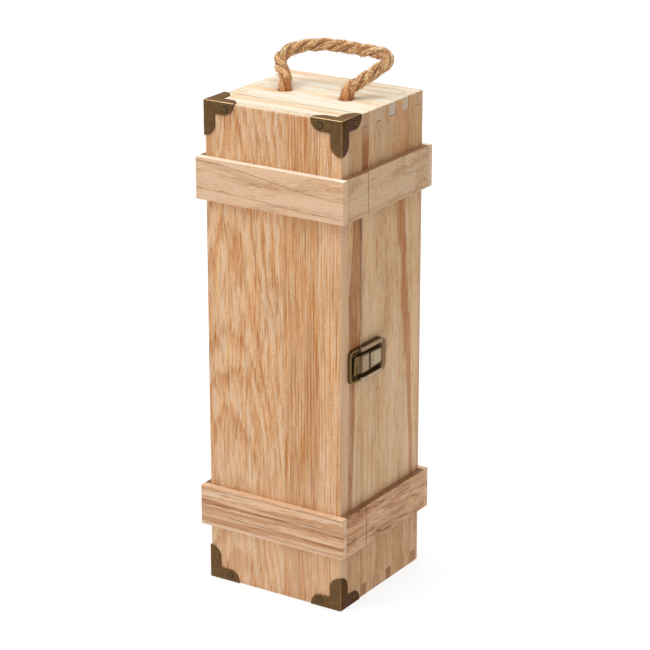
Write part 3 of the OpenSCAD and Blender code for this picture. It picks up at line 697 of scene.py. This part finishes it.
knots = []
for side, label in ((1, "right"), (-1, "left")):
    x = side * HOLE_X
    turns = [(x + KNOT_R * math.cos(a), ROPE_Y + KNOT_R * math.sin(a), KNOT_TOP - KNOT_FALL * a / KNOT_SWEEP)
             for a in np.linspace(0, KNOT_SWEEP, KNOT_POINTS)]
    wrap_start = (x + 1.5, ROPE_Y, KNOT_TOP + 0.6)
    wrap_end = (x, ROPE_Y - 1.0, KNOT_TOP - 7.8)
    wrap = smooth_line([wrap_start] + turns + [wrap_end], KNOT_STEP)
    tail = smooth_line([(x, ROPE_Y, KNOT_TOP - 2), (x + 0.3, ROPE_Y, KNOT_TOP - 8),
                        (x + 0.2 * side, ROPE_Y + 0.3, KNOT_TOP - 14),
                        (x - 0.3, ROPE_Y - 0.2, KNOT_TOP - 21.5)], KNOT_STEP)
    parts = [strands(wrap, lambda share, point: WRAP_R, WRAP_PITCH, seed=21 + side, sides=10),
             strands(tail, lambda share, point: TAIL_R + 0.25 * share, ROPE_PITCH, seed=31 + side, sides=12)]
    knots.append(rope_piece("rope_knot_" + label, parts))
    frayed = surface_roots(tail, TAIL_R - 0.6, count=90, seed=41 + side, low=0.75)
    frayed += surface_roots(wrap, WRAP_R - 0.2, count=60, seed=43 + side)
    knots.append(fibres("rope_knot_fibres_" + label, frayed, seed=51 + side, longest=6.0))

for piece in (rope, fuzz, nap):
    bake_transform(piece)
for piece in knots:
    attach(piece, "box")
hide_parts("rope_loop")
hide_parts("rope_stop_right")
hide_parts("rope_stop_left")


# ---- wood: palettes and figures
def palette(light, mid, dark, end, dashes):
    """A wood's three tones, the tone of its cut end, and how fine its dashes are."""
    return dict(light=rgb(*light), mid=rgb(*mid), dark=rgb(*dark), end=rgb(*end), dashes=dashes)


FRONT = palette((226, 187, 148), (203, 150, 102), (178, 116, 68), (226, 212, 186), (0.85, 0.075))
SIDE = palette((208, 173, 134), (186, 145, 102), (148, 100, 60), (238, 222, 194), (1.0, 0.09))
BASE = {**SIDE, "end": rgb(196, 158, 120), "dashes": (0.8, 0.04)}
TOP = palette((233, 226, 209), (230, 209, 178), (218, 170, 122), (192, 160, 126), (0.6, 0.03))
BAND = palette((226, 190, 156), (200, 156, 118), (152, 104, 70), (200, 170, 138), (1.0, 0.14))
BAND_SIDE = palette((202, 169, 134), (178, 141, 104), (140, 100, 66), (190, 156, 120), (1.1, 0.2))
LOW_BAND = palette((226, 190, 156), (194, 144, 104), (140, 92, 62), (206, 172, 142), (0.8, 0.035))
LOW_SIDE = palette((206, 166, 128), (178, 130, 90), (118, 76, 48), (176, 132, 94), (1.3, 0.12))
BROWN = rgb(152, 94, 46)
RUST = rgb(166, 102, 48)
UMBER = rgb(120, 78, 50)
GREY_BROWN = rgb(138, 94, 66)
HONEY = rgb(204, 152, 104)
RIGHT_FLANK = Face(X, 1, 0.85, rgb(198, 160, 126))
LEFT_FLANK = RIGHT_FLANK._replace(sign=-1)

LEFT_STAVE = dict(
    pith=(-34, -8), ring=3.4, slope=0.07, warp=7.0, late=(0.3, 0.95), ring_share=0.28, flame=(0.2, 0.03),
    flame_share=0.2, flame_edge=0.62, tone=0.05, dash=(0.9, 0.042))
RIGHT_STAVE = dict(
    pith=(-120, 6), ring=2.3, warp=2.5, feather=1.2, late=(0.1, 0.9), ring_share=0.2, flame=(0.12, 0.012),
    flame_share=0.2, tone=0.2, dash=(0.85, 0.018), weave=1.5)
EDGE_STAVE = {**RIGHT_STAVE, "tone": 0.04, "pith": (-160, 6)}
BACK_STAVE = {**LEFT_STAVE, "pith": (12, -70)}
QUIET = dict(
    pith=(-70, 712), ring=5.5, warp=4.0, feather=1.4, ring_share=0.22, flame=(0.12, 0.014),
    flame_share=0.22)
TOP_FIGURE = dict(
    pith=(-20, 262), ring=6.0, warp=4.0, feather=1.0, late=(0.45, 0.95), ring_share=0.5,
    flame=(0.1, 0.012), flame_share=0.32)
BAND_FIGURE = dict(
    pith=(-110, 330), ring=7.0, warp=3.0, ring_share=0.12, flame=(0.12, 0.02), flame_share=0.16)
BAND_SIDE_FIGURE = dict(
    pith=(360, -60), ring=7.0, warp=3.0, ring_share=0.12, flame=(0.1, 0.03), flame_share=0.3)
LOW_FIGURE = dict(
    pith=(-50, 0), ring=8.0, warp=2.0, feather=0.8, ring_share=0.25, flame=(0.2, 0.008), flame_share=0.22)
LOW_SIDE_FIGURE = dict(
    pith=(60, 20), ring=8.0, warp=4.0, feather=2.0, ring_share=0.25, flame=(0.14, 0.03), flame_share=0.28)


def quiet_at(across, other):
    """The sides' figure with its pith at another place."""
    return ({**QUIET, "pith": (across, other)},)


# ---- wood: joints between boards, with painted shadow in their gaps
MARK_INSET = 0.4
END_INSET = 0.3
SOCKET_Z = BOX_H - BOARD_T


def finger_line(z, half, start, share):
    """The painted shadow line at a finger's root, across the side."""
    return Mark(Z, z, half, share, Y, start + MARK_INSET, start + FINGER_W - MARK_INSET)


def finger_ends(shares, shades):
    """The cut ends of the fingers, each with its own share and shade."""
    return [EndTone(Y, start + FINGER_W / 2, FINGER_W / 2 - END_INSET, share, shade)
            for start, share, shade in zip(FINGER_STARTS, shares, shades)]


# Painted shadow at the fingers' roots and cheeks, near the top and at the foot of the sides
side_marks = [finger_line(SOCKET_Z, 0.75, start, share)
              for start, share in zip(FINGER_STARTS, (0.8, 1.0, 0.95, 0.4, 0.65))]
side_marks += [Mark(Y, start + cheek, 0.4, 0.3, Z, SOCKET_Z, BOX_H)
               for start in FINGER_STARTS for cheek in (0.0, FINGER_W)]
side_marks += [finger_line(BOARD_T, 0.45, start, 0.45) for start in FINGER_STARTS]
# Painted shadow along the saw cut between lid and box, on the top boards and on the band sides
top_cut = Mark(Y, CUT_Y, 0.9, 0.6, Z, BOX_H - 0.1, BOX_H + 1.0)
upper_cut = Mark(Y, CUT_Y, 0.6, 0.85, Z, 0.0, BOX_H)
lower_cut = Mark(Y, CUT_Y, 0.5, 0.8, Z, 0.0, BOX_H)
top_ends = finger_ends((0.5, 0.5, 0.6, 0.45, 0.5),
                       (rgb(150, 104, 66), rgb(176, 156, 130), rgb(178, 170, 156),
                        rgb(178, 164, 144), rgb(166, 122, 82)))
base_ends = finger_ends((0.85, 0.3, 0.9, 0.3, 0.6), [rgb(148, 98, 60)] * FINGERS)


# ---- wood: stripes
def upright(centres, halves, soft, shares, shade):
    """A stripe that runs up a side, from pairs of a height and a value."""
    return Stripe(Y, Z, centres, halves, soft, shares, shade)


def whole_side(shares, shade):
    """A tone over a side's whole breadth, and past it."""
    return upright(centres=0.0, halves=80.0, soft=1.0, shares=shares, shade=shade)


def from_to(first, last, half_length=59):
    """A value that changes evenly from the low end of a stick or board to its high end."""
    return ((-half_length, first), (half_length, last))


def band_stripe(long, top, drops, halves, soft, shares, shade):
    """A stripe along a band, which lies at drops below its top."""
    return Stripe(Z, long, [(place, top - drop) for place, drop in drops], halves, soft, shares, shade)


# The sides' brown stripes of heartwood, then the broad tones
body_stripe = upright(
    ((88, 40.5), (133, 37.5), (178, 34.0), (207, 30.0), (236, 28.5), (264, 24.0), (300, 25.0)),
    ((88, 2.4), (155, 2.8), (178, 4.5), (207, 5.0), (236, 3.7), (250, 5.4), (300, 5.0)), 1.1,
    ((20, 0.3), (80, 0.9), (290, 0.95), (312, 0.25)), RUST)
body_root = upright(
    ((300, -23.5), (330, -22.5)), ((296, 2.4), (320, 4.0)), 1.4,
    ((290, 0.0), (306, 1.0), (326, 0.95), (340, 0.45)), rgb(148, 84, 36))
warm_head = upright(
    ((290, 36.0), (350, 32.0)), ((290, 22.0), (350, 18.0)), 7.0, ((298, 0.0), (316, 0.45), (338, 0.25)),
    rgb(180, 118, 58))
low_streaks = [upright(((75, start), (170, start + 1.0)), ((75, half), (170, 0.7 * half)), 0.7,
                       ((60, 0.6), (140, 0.45), (200, 0.0)), RUST)
               for start, half in ((-23.5, 0.8), (-17.5, 0.5), (-12.5, 0.7),
                                   (-4.0, 0.3), (9.0, 0.4), (17.0, 0.3))]
lid_stripe = upright(
    ((78, -40.3), (137, -38.6), (165, -38.0), (200, -34.5), (222, -34.6), (275, -31.8), (310, -29.0)),
    ((78, 2.9), (137, 3.6), (165, 3.6), (200, 7.5), (222, 8.0), (248, 6.6), (275, 5.5), (310, 4.0)), 1.2,
    ((40, 0.35), (90, 0.85), (210, 1.0), (288, 1.0), (312, 0.2)), BROWN)
lid_dark = upright(
    ((190, -26.6), (300, -27.2)), ((190, 0.6), (240, 1.6)), 0.6,
    ((195, 0.0), (215, 0.75), (292, 0.75), (306, 0.0)), UMBER)
lid_thin = upright(
    ((70, -31.5), (130, -31.0)), ((70, 0.5), (120, 0.4)), 0.4, ((60, 0.5), (120, 0.45), (140, 0.0)), BROWN)
left_stripe = upright(
    ((40, 9.0), (180, 14.0), (330, 10.0)), ((40, 4.0), (330, 6.0)), 1.2, ((40, 0.7), (330, 0.8)), BROWN)
dusk = whole_side(((298, 0.0), (318, 0.26)), rgb(140, 96, 58))
pale_middle = whole_side(((58, 0.0), (84, 0.2), (170, 0.2), (220, 0.0)), rgb(236, 206, 170))
warm_foot = whole_side(((40, 0.35), (64, 0.0)), rgb(170, 116, 64))
# Painted light: a lighter tone over the front's lower part, against the shade of the lower band
painted_light_foot = Stripe(Z, X, 46.0, 44.0, 30.0, 0.22, rgb(242, 212, 178))

upper_lines = [band_stripe(X, UPPER_BAND_TOP, *line) for line in (
    (from_to(2.5, 14.4), from_to(0.35, 0.3), 0.35, from_to(0.7, 0.6), GREY_BROWN),
    (from_to(21.6, 26.3), from_to(0.3, 0.35), 0.35, from_to(0.6, 0.65), GREY_BROWN),
    (((-59, 8.7), (22, 15.2)), 0.3, 0.4, ((-40, 0.55), (24, 0.0)), GREY_BROWN),
    (((-59, 3.5), (10, 12.5)), ((-59, 1.2), (10, 2.2)), 1.6, ((-50, 0.35), (40, 0.2)), BROWN))]
upper_side_line = band_stripe(
    Y, UPPER_BAND_TOP, from_to(27.4, 27.8, 60), from_to(0.9, 1.1, 60), 1.0,
    ((-60, 0.7), (-20, 0.5), (60, 0.75)), rgb(172, 122, 68))
lower_lines = [band_stripe(X, LOWER_BAND_TOP, *line) for line in (
    (from_to(12.3, 12.6), ((-59, 1.6), (0, 1.1), (59, 1.7)), 0.5, from_to(0.85, 0.9), BROWN),
    (((-20, 10.2), (59, 10.4)), ((-20, 0.2), (59, 0.5)), 0.4, ((-20, 0.0), (20, 0.7)), UMBER),
    (from_to(20.1, 21.9), from_to(0.3, 0.4), 0.35, 0.85, GREY_BROWN),
    (from_to(1.9, 1.4), 0.3, 0.4, ((-59, 0.3), (0, 0.75)), GREY_BROWN),
    (from_to(26.6, 27.4), from_to(1.0, 1.2), 0.8, from_to(0.45, 0.5), BROWN))]
top_lines = [Stripe(Y, X, *line) for line in (
    (from_to(46.5, 48.5, 54), from_to(3.0, 1.5, 54), 2.0, ((-50, 0.55), (40, 0.25)), rgb(222, 168, 104)),
    (from_to(-35.2, -34.0, 54), from_to(0.3, 0.4, 54), 0.4, from_to(0.5, 0.35, 54), HONEY),
    (from_to(-42.0, -41.2, 54), 0.3, 0.4, from_to(0.3, 0.5, 54), HONEY))]

# ---- wood: one material for each kind of piece
front_wood = wood(
    "front_panel_wood", Z, **FRONT, shift=(0, 0, 40), staves=(LEFT_STAVE, RIGHT_STAVE, EDGE_STAVE),
    seams=(8.0, 36.0), dash_share=0.6, stripes=(painted_light_foot,), faces=(RIGHT_FLANK,), end_dark=0.04, stipple=0.1,
    blush=0.8)
back_wood = wood(
    "back_panel_wood", Z, **FRONT, shift=(300, 0, 900), staves=(BACK_STAVE, RIGHT_STAVE), seams=(286.0,),
    dash_share=0.62, faces=(RIGHT_FLANK, LEFT_FLANK))
side_right = wood(
    "side_wood_right", Z, **SIDE, shift=(0, 700, 100), staves=(QUIET,), dash_share=0.5,
    stripes=[dusk, warm_head, pale_middle, warm_foot, body_stripe, body_root] + low_streaks, marks=side_marks,
    stipple=0.1, blush=0.8)
side_left = wood(
    "side_wood_left", Z, **SIDE, shift=(0, 200, 500), staves=quiet_at(90, 190), dash_share=0.4,
    stripes=(left_stripe,), marks=side_marks)
lid_right = wood(
    "lid_wood_right", Z, **SIDE, shift=(0, 1200, 700), staves=quiet_at(-70, 1150), dash_share=0.4,
    stripes=(dusk, pale_middle, warm_foot, lid_stripe, lid_dark, lid_thin), stipple=0.1, blush=0.8)
lid_left = wood(
    "lid_wood_left", Z, **SIDE, shift=(0, 1700, 900), staves=quiet_at(80, 1660), dash_share=0.4)
top_wood = wood(
    "top_wood", X, **TOP, shift=(40, 0, 0), staves=(TOP_FIGURE,), dash_share=0.3, stripes=top_lines,
    marks=(top_cut,), ends=top_ends, end_dark=0.25)
base_wood = wood("base_wood", X, **BASE, shift=(90, 60, 0), ends=base_ends, end_dark=0.4)
# The bands' up-facing ledges: a painted highlight on the front and back sticks, and painted shade on the side
# sticks
band_wood = wood(
    "upper_band_wood", X, **BAND, shift=(0, 0, 13), tilt=(0, 5, 0), staves=(BAND_FIGURE,), dash_share=0.34,
    stripes=upper_lines, end_share=0.7, faces=[Face(Z, 1, 0.85, rgb(255, 246, 228))])
band_side_wood = wood(
    "upper_band_side_wood", Y, **BAND_SIDE, shift=(0, 40, 17), staves=(BAND_SIDE_FIGURE,), dash_share=0.25,
    stripes=(upper_side_line,), marks=(upper_cut,), stipple=0.2, faces=[Face(Z, 1, 0.85, rgb(140, 98, 66))])
low_band_wood = wood(
    "lower_band_wood", X, **LOW_BAND, shift=(200, 0, 3), tilt=(0, 1, 0), staves=(LOW_FIGURE,),
    dash_share=0.3, stripes=lower_lines, end_share=0.55, faces=[Face(Z, 1, 0.85, rgb(226, 190, 154))])
low_band_side_wood = wood(
    "lower_band_side_wood", Y, **LOW_SIDE, shift=(0, 260, 5), tilt=(3, 0, 0), staves=(LOW_SIDE_FIGURE,),
    dash_share=0.5, marks=(lower_cut,), faces=[Face(Z, 1, 0.85, rgb(120, 80, 52))])

WOODS = {
    "front_panel": front_wood, "back_panel": back_wood,
    "side_board_right": side_right, "side_board_left": side_left,
    "lid_side_right": lid_right, "lid_side_left": lid_left,
    "top_board": top_wood, "lid_top": top_wood, "bottom_board": base_wood, "lid_bottom": base_wood,
}
for level, long_wood, side_wood in (("upper", band_wood, band_side_wood),
                                    ("lower", low_band_wood, low_band_side_wood)):
    for place in ("front", "back"):
        WOODS[f"{level}_band_{place}"] = long_wood
    for place in ("right", "left", "lid_right", "lid_left"):
        WOODS[f"{level}_band_{place}"] = side_wood

# ---- metal: finishes
HOOK_STEP_Y = -33.4
HOOK_FACE_Y = (-31.3, -22.9)
LEVER_FACE_Y = (-20.7, edge("clasp_lever", Y, HIGH))
TRAY_WALL = (9.6, 14.0)
BRASS_TINT = rgb(214, 180, 134)

# Painted light: a lighter tone on the up-facing flaps, and painted shade on the flanks that face +X
BRONZE = metal(
    "antique_bronze", rgb(100, 75, 48), rgb(126, 98, 66), roughness=0.42, screws=True, metallic=0.6,
    tint=rgb(176, 128, 74),
    faces=(Face(Z, 1, 0.8, rgb(148, 116, 78)), Face(X, 1, 0.8, rgb(66, 45, 14))))
# Worn brass on the folds, with a painted highlight on the up-facing folds
RIDGE = metal(
    "worn_ridge_painted_highlight", rgb(122, 94, 60), rgb(164, 134, 92), speck=0.3,
    faces=(Face(Z, 1, 0.95, rgb(240, 210, 164)), Face(X, 1, 0.6, rgb(126, 96, 60))))
# Painted shade on the tray's up-facing faces
CLASP_TRAY = metal(
    "clasp_tray", rgb(104, 84, 56), rgb(140, 118, 86), roughness=0.38, tint=BRASS_TINT,
    faces=(Face(Z, 1, 0.7, rgb(60, 44, 28)),))
# Painted light: painted shade on up-facing faces, a painted highlight on down-facing ones, a painted
# reflection on the lower wall and a painted highlight on the upper wall
CLASP_FRAME = metal(
    "clasp_frame", rgb(124, 98, 70), rgb(158, 132, 102), metallic=0.55, tint=BRASS_TINT,
    faces=(Face(Z, 1, 0.9, rgb(66, 48, 28)), Face(Z, -1, 0.6, rgb(186, 164, 138))),
    zones=(Zone(Z, CLASP_Z - TRAY_WALL[1], CLASP_Z - TRAY_WALL[0], 0.5, 0.75, rgb(190, 170, 146)),
           Zone(Z, CLASP_Z + TRAY_WALL[0], CLASP_Z + TRAY_WALL[1], 0.5, 0.5, rgb(172, 148, 124)),
           Zone(Y, LEVER_FACE_Y[1] + 0.5, 5.0, 0.4, 0.8, rgb(116, 88, 60))))
# Painted shade on the links' up-facing faces
CLASP_LINKS = metal(
    "clasp_links", rgb(120, 104, 80), rgb(160, 144, 118), scale=1.6,
    faces=(Face(Z, 1, 0.7, rgb(74, 60, 36)),),
    zones=(Zone(Y, HOOK_FACE_Y[1] - 0.05, LEVER_FACE_Y[0] + 0.05, 0.1, 0.9, rgb(70, 34, 24)),
           Zone(Y, HOOK_STEP_Y, HOOK_FACE_Y[0] + 0.1, 0.15, 0.8, rgb(92, 66, 36)),
           Zone(Y, -60.0, HOOK_STEP_Y, 0.15, 0.85, rgb(118, 92, 56))))
# Painted light: painted shade on up-facing faces, a painted highlight on down-facing ones, and a painted
# gradient of reflection, darker at the hook's end and lighter at the lever's end
CLASP_PLATE = metal(
    "clasp_plate", rgb(140, 122, 98), rgb(190, 174, 150), roughness=0.32, speck=0.4, scale=1.5,
    faces=(Face(Z, 1, 0.85, rgb(78, 66, 40)), Face(Z, -1, 0.6, rgb(206, 196, 172))),
    zones=(Zone(Y, -32.0, -28.0, 1.2, 0.5, rgb(150, 128, 96)),
           Zone(Y, -16.0, -6.0, 1.5, 0.5, rgb(186, 172, 146))))
HINGE_BRONZE = metal("hinge_bronze", rgb(92, 72, 48), rgb(138, 118, 92))
CAP_SCREW = metal(
    "brown_steel", rgb(88, 70, 48), rgb(120, 100, 72), roughness=0.4, screws=True, tint=BRASS_TINT)
SCREW = metal("dark_steel", rgb(52, 44, 36), rgb(98, 88, 74), roughness=0.35)

# ---- pieces with eased or worn edges
RIDGE_W = 0.55
ON_FACE = 0.02
BOARD_EDGE = 0.35
BAND_EDGE = 0.2
SHEET_EDGE = 0.12
LINK_EDGE = 0.15
BASE_EDGE = 0.35
STRIKE_EDGE = 0.3
PLATE_EDGE = 0.2


def worn_copy(node, prefix, width, materials, ridge=None):
    """The node's shape again with its edges rounded. Edges that ridge picks show the second material."""
    name = f"{prefix}_{node}"
    source = nodes[node]
    shape = bmesh.new()
    shape.from_mesh(source.data)
    bmesh.ops.remove_doubles(shape, verts=shape.verts, dist=1e-6)
    bmesh.ops.dissolve_limit(shape, angle_limit=math.radians(0.5), verts=shape.verts, edges=shape.edges)
    mesh = bpy.data.meshes.new(name)
    shape.to_mesh(mesh)
    shape.free()
    mesh.materials.clear()
    for material in materials:
        mesh.materials.append(material)
    mesh.polygons.foreach_set("use_smooth", [True] * len(mesh.polygons))
    mesh.polygons.foreach_set("material_index", [0] * len(mesh.polygons))
    piece = add_object(name, mesh)
    if ridge:
        weights = mesh.attributes.new("bevel_weight_edge", "FLOAT", "EDGE")
        picked = [1.0 if ridge(*[mesh.vertices[v].co / MM for v in e.vertices]) else 0.0 for e in mesh.edges]
        weights.data.foreach_set("value", picked)
        bevel(piece, "ridge", RIDGE_W, 3, limit_method="WEIGHT", material=1)
    bevel(piece, "edges", width, limit_method="ANGLE", angle_limit=math.radians(35))
    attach(piece, source["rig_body"])
    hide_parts(node)


def cap_ridge(a, b):
    """True for the three folds of a corner protector, on its outside."""
    outer_x = all(abs(abs(q[X]) - HALF_W - CAP_T) < ON_FACE for q in (a, b))
    outer_y = all(abs(q[Y] - FACE_Y + CAP_T) < ON_FACE for q in (a, b))
    outer_z = all(abs(q[Z] - BOX_H - CAP_T) < ON_FACE or abs(q[Z]) < ON_FACE for q in (a, b))
    return outer_x + outer_y + outer_z >= 2


for end in ("top", "bottom"):
    for side in ("right", "left"):
        worn_copy(f"corner_{end}_{side}", "worn", SHEET_EDGE, [BRONZE, RIDGE], cap_ridge)
worn_copy("clasp_base", "worn", BASE_EDGE, [CLASP_FRAME])
worn_copy("clasp_strike", "worn", STRIKE_EDGE, [CLASP_TRAY])
for node in ("clasp_lever", "clasp_hook"):
    worn_copy(node, "worn", LINK_EDGE, [CLASP_LINKS])

PLATE_OUT = 4.2
PLATE_T = 0.5
ROLL_R = 1.7
ROLL_ANGLES = [math.radians(a) for a in range(0, 96, 12)]


def rolled_edge(radius, half):
    """An edge's round from the flat of a sheet inwards, as (out, up), about the centre of its roll."""
    return [(PLATE_OUT - ROLL_R + radius * math.cos(a), half - ROLL_R + radius * math.sin(a))
            for a in ROLL_ANGLES]


def rolled_plate(name, ends, halves, body):
    """The pressed face of a clasp part: a flat sheet with both long edges rolled inwards.

    It has a half width for each of its two ends along Y."""
    points = []
    for y, half in zip(ends, halves):
        outer = rolled_edge(ROLL_R, half)
        inner = rolled_edge(ROLL_R - PLATE_T, half)
        outline = outer + inner[::-1] + [(out, -up) for out, up in inner + outer[::-1]]
        points += [((HALF_W + out) * MM, y * MM, (CLASP_Z + up) * MM) for out, up in outline]
    count = len(points) // 2
    faces = [(i, (i + 1) % count, count + (i + 1) % count, count + i) for i in range(count)]
    # The two ends of the sheet, as strips between its outer and inner outlines
    turn = len(ROLL_ANGLES)
    lines = [(turn - 1 - i, turn + i) for i in range(turn)]
    lines += [(4 * turn - 1 - i, 2 * turn + i) for i in range(turn)]
    for a, b in zip(lines, lines[1:]):
        faces.append((a[0], a[1], b[1], b[0]))
        faces.append((count + b[0], count + b[1], count + a[1], count + a[0]))
    piece = mesh_piece(name, points, faces, CLASP_PLATE)
    shape = bmesh.new()
    shape.from_mesh(piece.data)
    bmesh.ops.recalc_face_normals(shape, faces=shape.faces)
    shape.to_mesh(piece.data)
    shape.free()
    bevel(piece, "edges", PLATE_EDGE, limit_method="ANGLE", angle_limit=math.radians(40))
    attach(piece, body)


rolled_plate("clasp_hook_face", HOOK_FACE_Y, (6.9, 6.8), nodes["clasp_hook"]["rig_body"])
rolled_plate("clasp_lever_face", LEVER_FACE_Y, (6.3, 5.7), nodes["clasp_lever"]["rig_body"])
for place in ("upper", "lower"):
    for leaf in ("body", "lid"):
        worn_copy(f"{place}_hinge_{leaf}_leaf", "worn", SHEET_EDGE, [HINGE_BRONZE])


# The boards and sticks again, with their edges eased by sandpaper
for node, material in WOODS.items():
    nodes[node].data.materials[0] = material
    width = BAND_EDGE if "band" in node else BOARD_EDGE
    worn_copy(node, "eased", width, [material])

for node in ("corner_screws", "clasp_strike_screws"):
    nodes[node].data.materials[0] = CAP_SCREW
for node in ("hinge_screws_body", "hinge_screws_lid", "clasp_base_screws",
             "upper_hinge_pin", "lower_hinge_pin", "clasp_lever_pin", "clasp_link_pin"):
    nodes[node].data.materials[0] = SCREW

# ---- floor, light and world
FLOOR_HALF = 12
paint = Paint("floor")
mottle = paint.noise(paint.node("TexCoord").outputs["Object"], (0.4,) * 3)
greys = paint.mix(mottle, (0.25, 0.25, 0.26, 1), (0.27, 0.27, 0.27, 1))
paint.finish(Base_Color=greys, Roughness=0.9, Specular_IOR_Level=0.0, Emission_Color=(1, 1, 1, 1),
             Emission_Strength=0.76)
corners = [(FLOOR_HALF * x, FLOOR_HALF * y, 0) for x, y in ((-1, -1), (1, -1), (1, 1), (-1, 1))]
floor = mesh_piece("floor", corners, [(0, 1, 2, 3)], paint.material)

world = bpy.data.worlds.new("studio")
scene.world = world
world.use_nodes = True
sky = world.node_tree.nodes["Background"]
sky.inputs["Color"].default_value = (1.0, 1.0, 1.0, 1.0)
sky.inputs["Strength"].default_value = 0.45


def soft_sun(name, place, strength, spread, tint=(1.0, 1.0, 1.0)):
    """A wide, even light from the direction of place."""
    light = bpy.data.lights.new(name, "SUN")
    light.energy = strength
    light.angle = math.radians(spread)
    light.color = tint
    lamp = add_object(name, light)
    lamp.location = place
    lamp.rotation_mode = "QUATERNION"
    lamp.rotation_quaternion = (-Vector(place)).to_track_quat("-Z", "Y")


soft_sun("overhead", (0.1, 0.15, 2.0), strength=1.9, spread=80)
soft_sun("key", (-1.1, -1.0, 1.9), strength=1.15, spread=45, tint=(1.0, 0.985, 0.96))
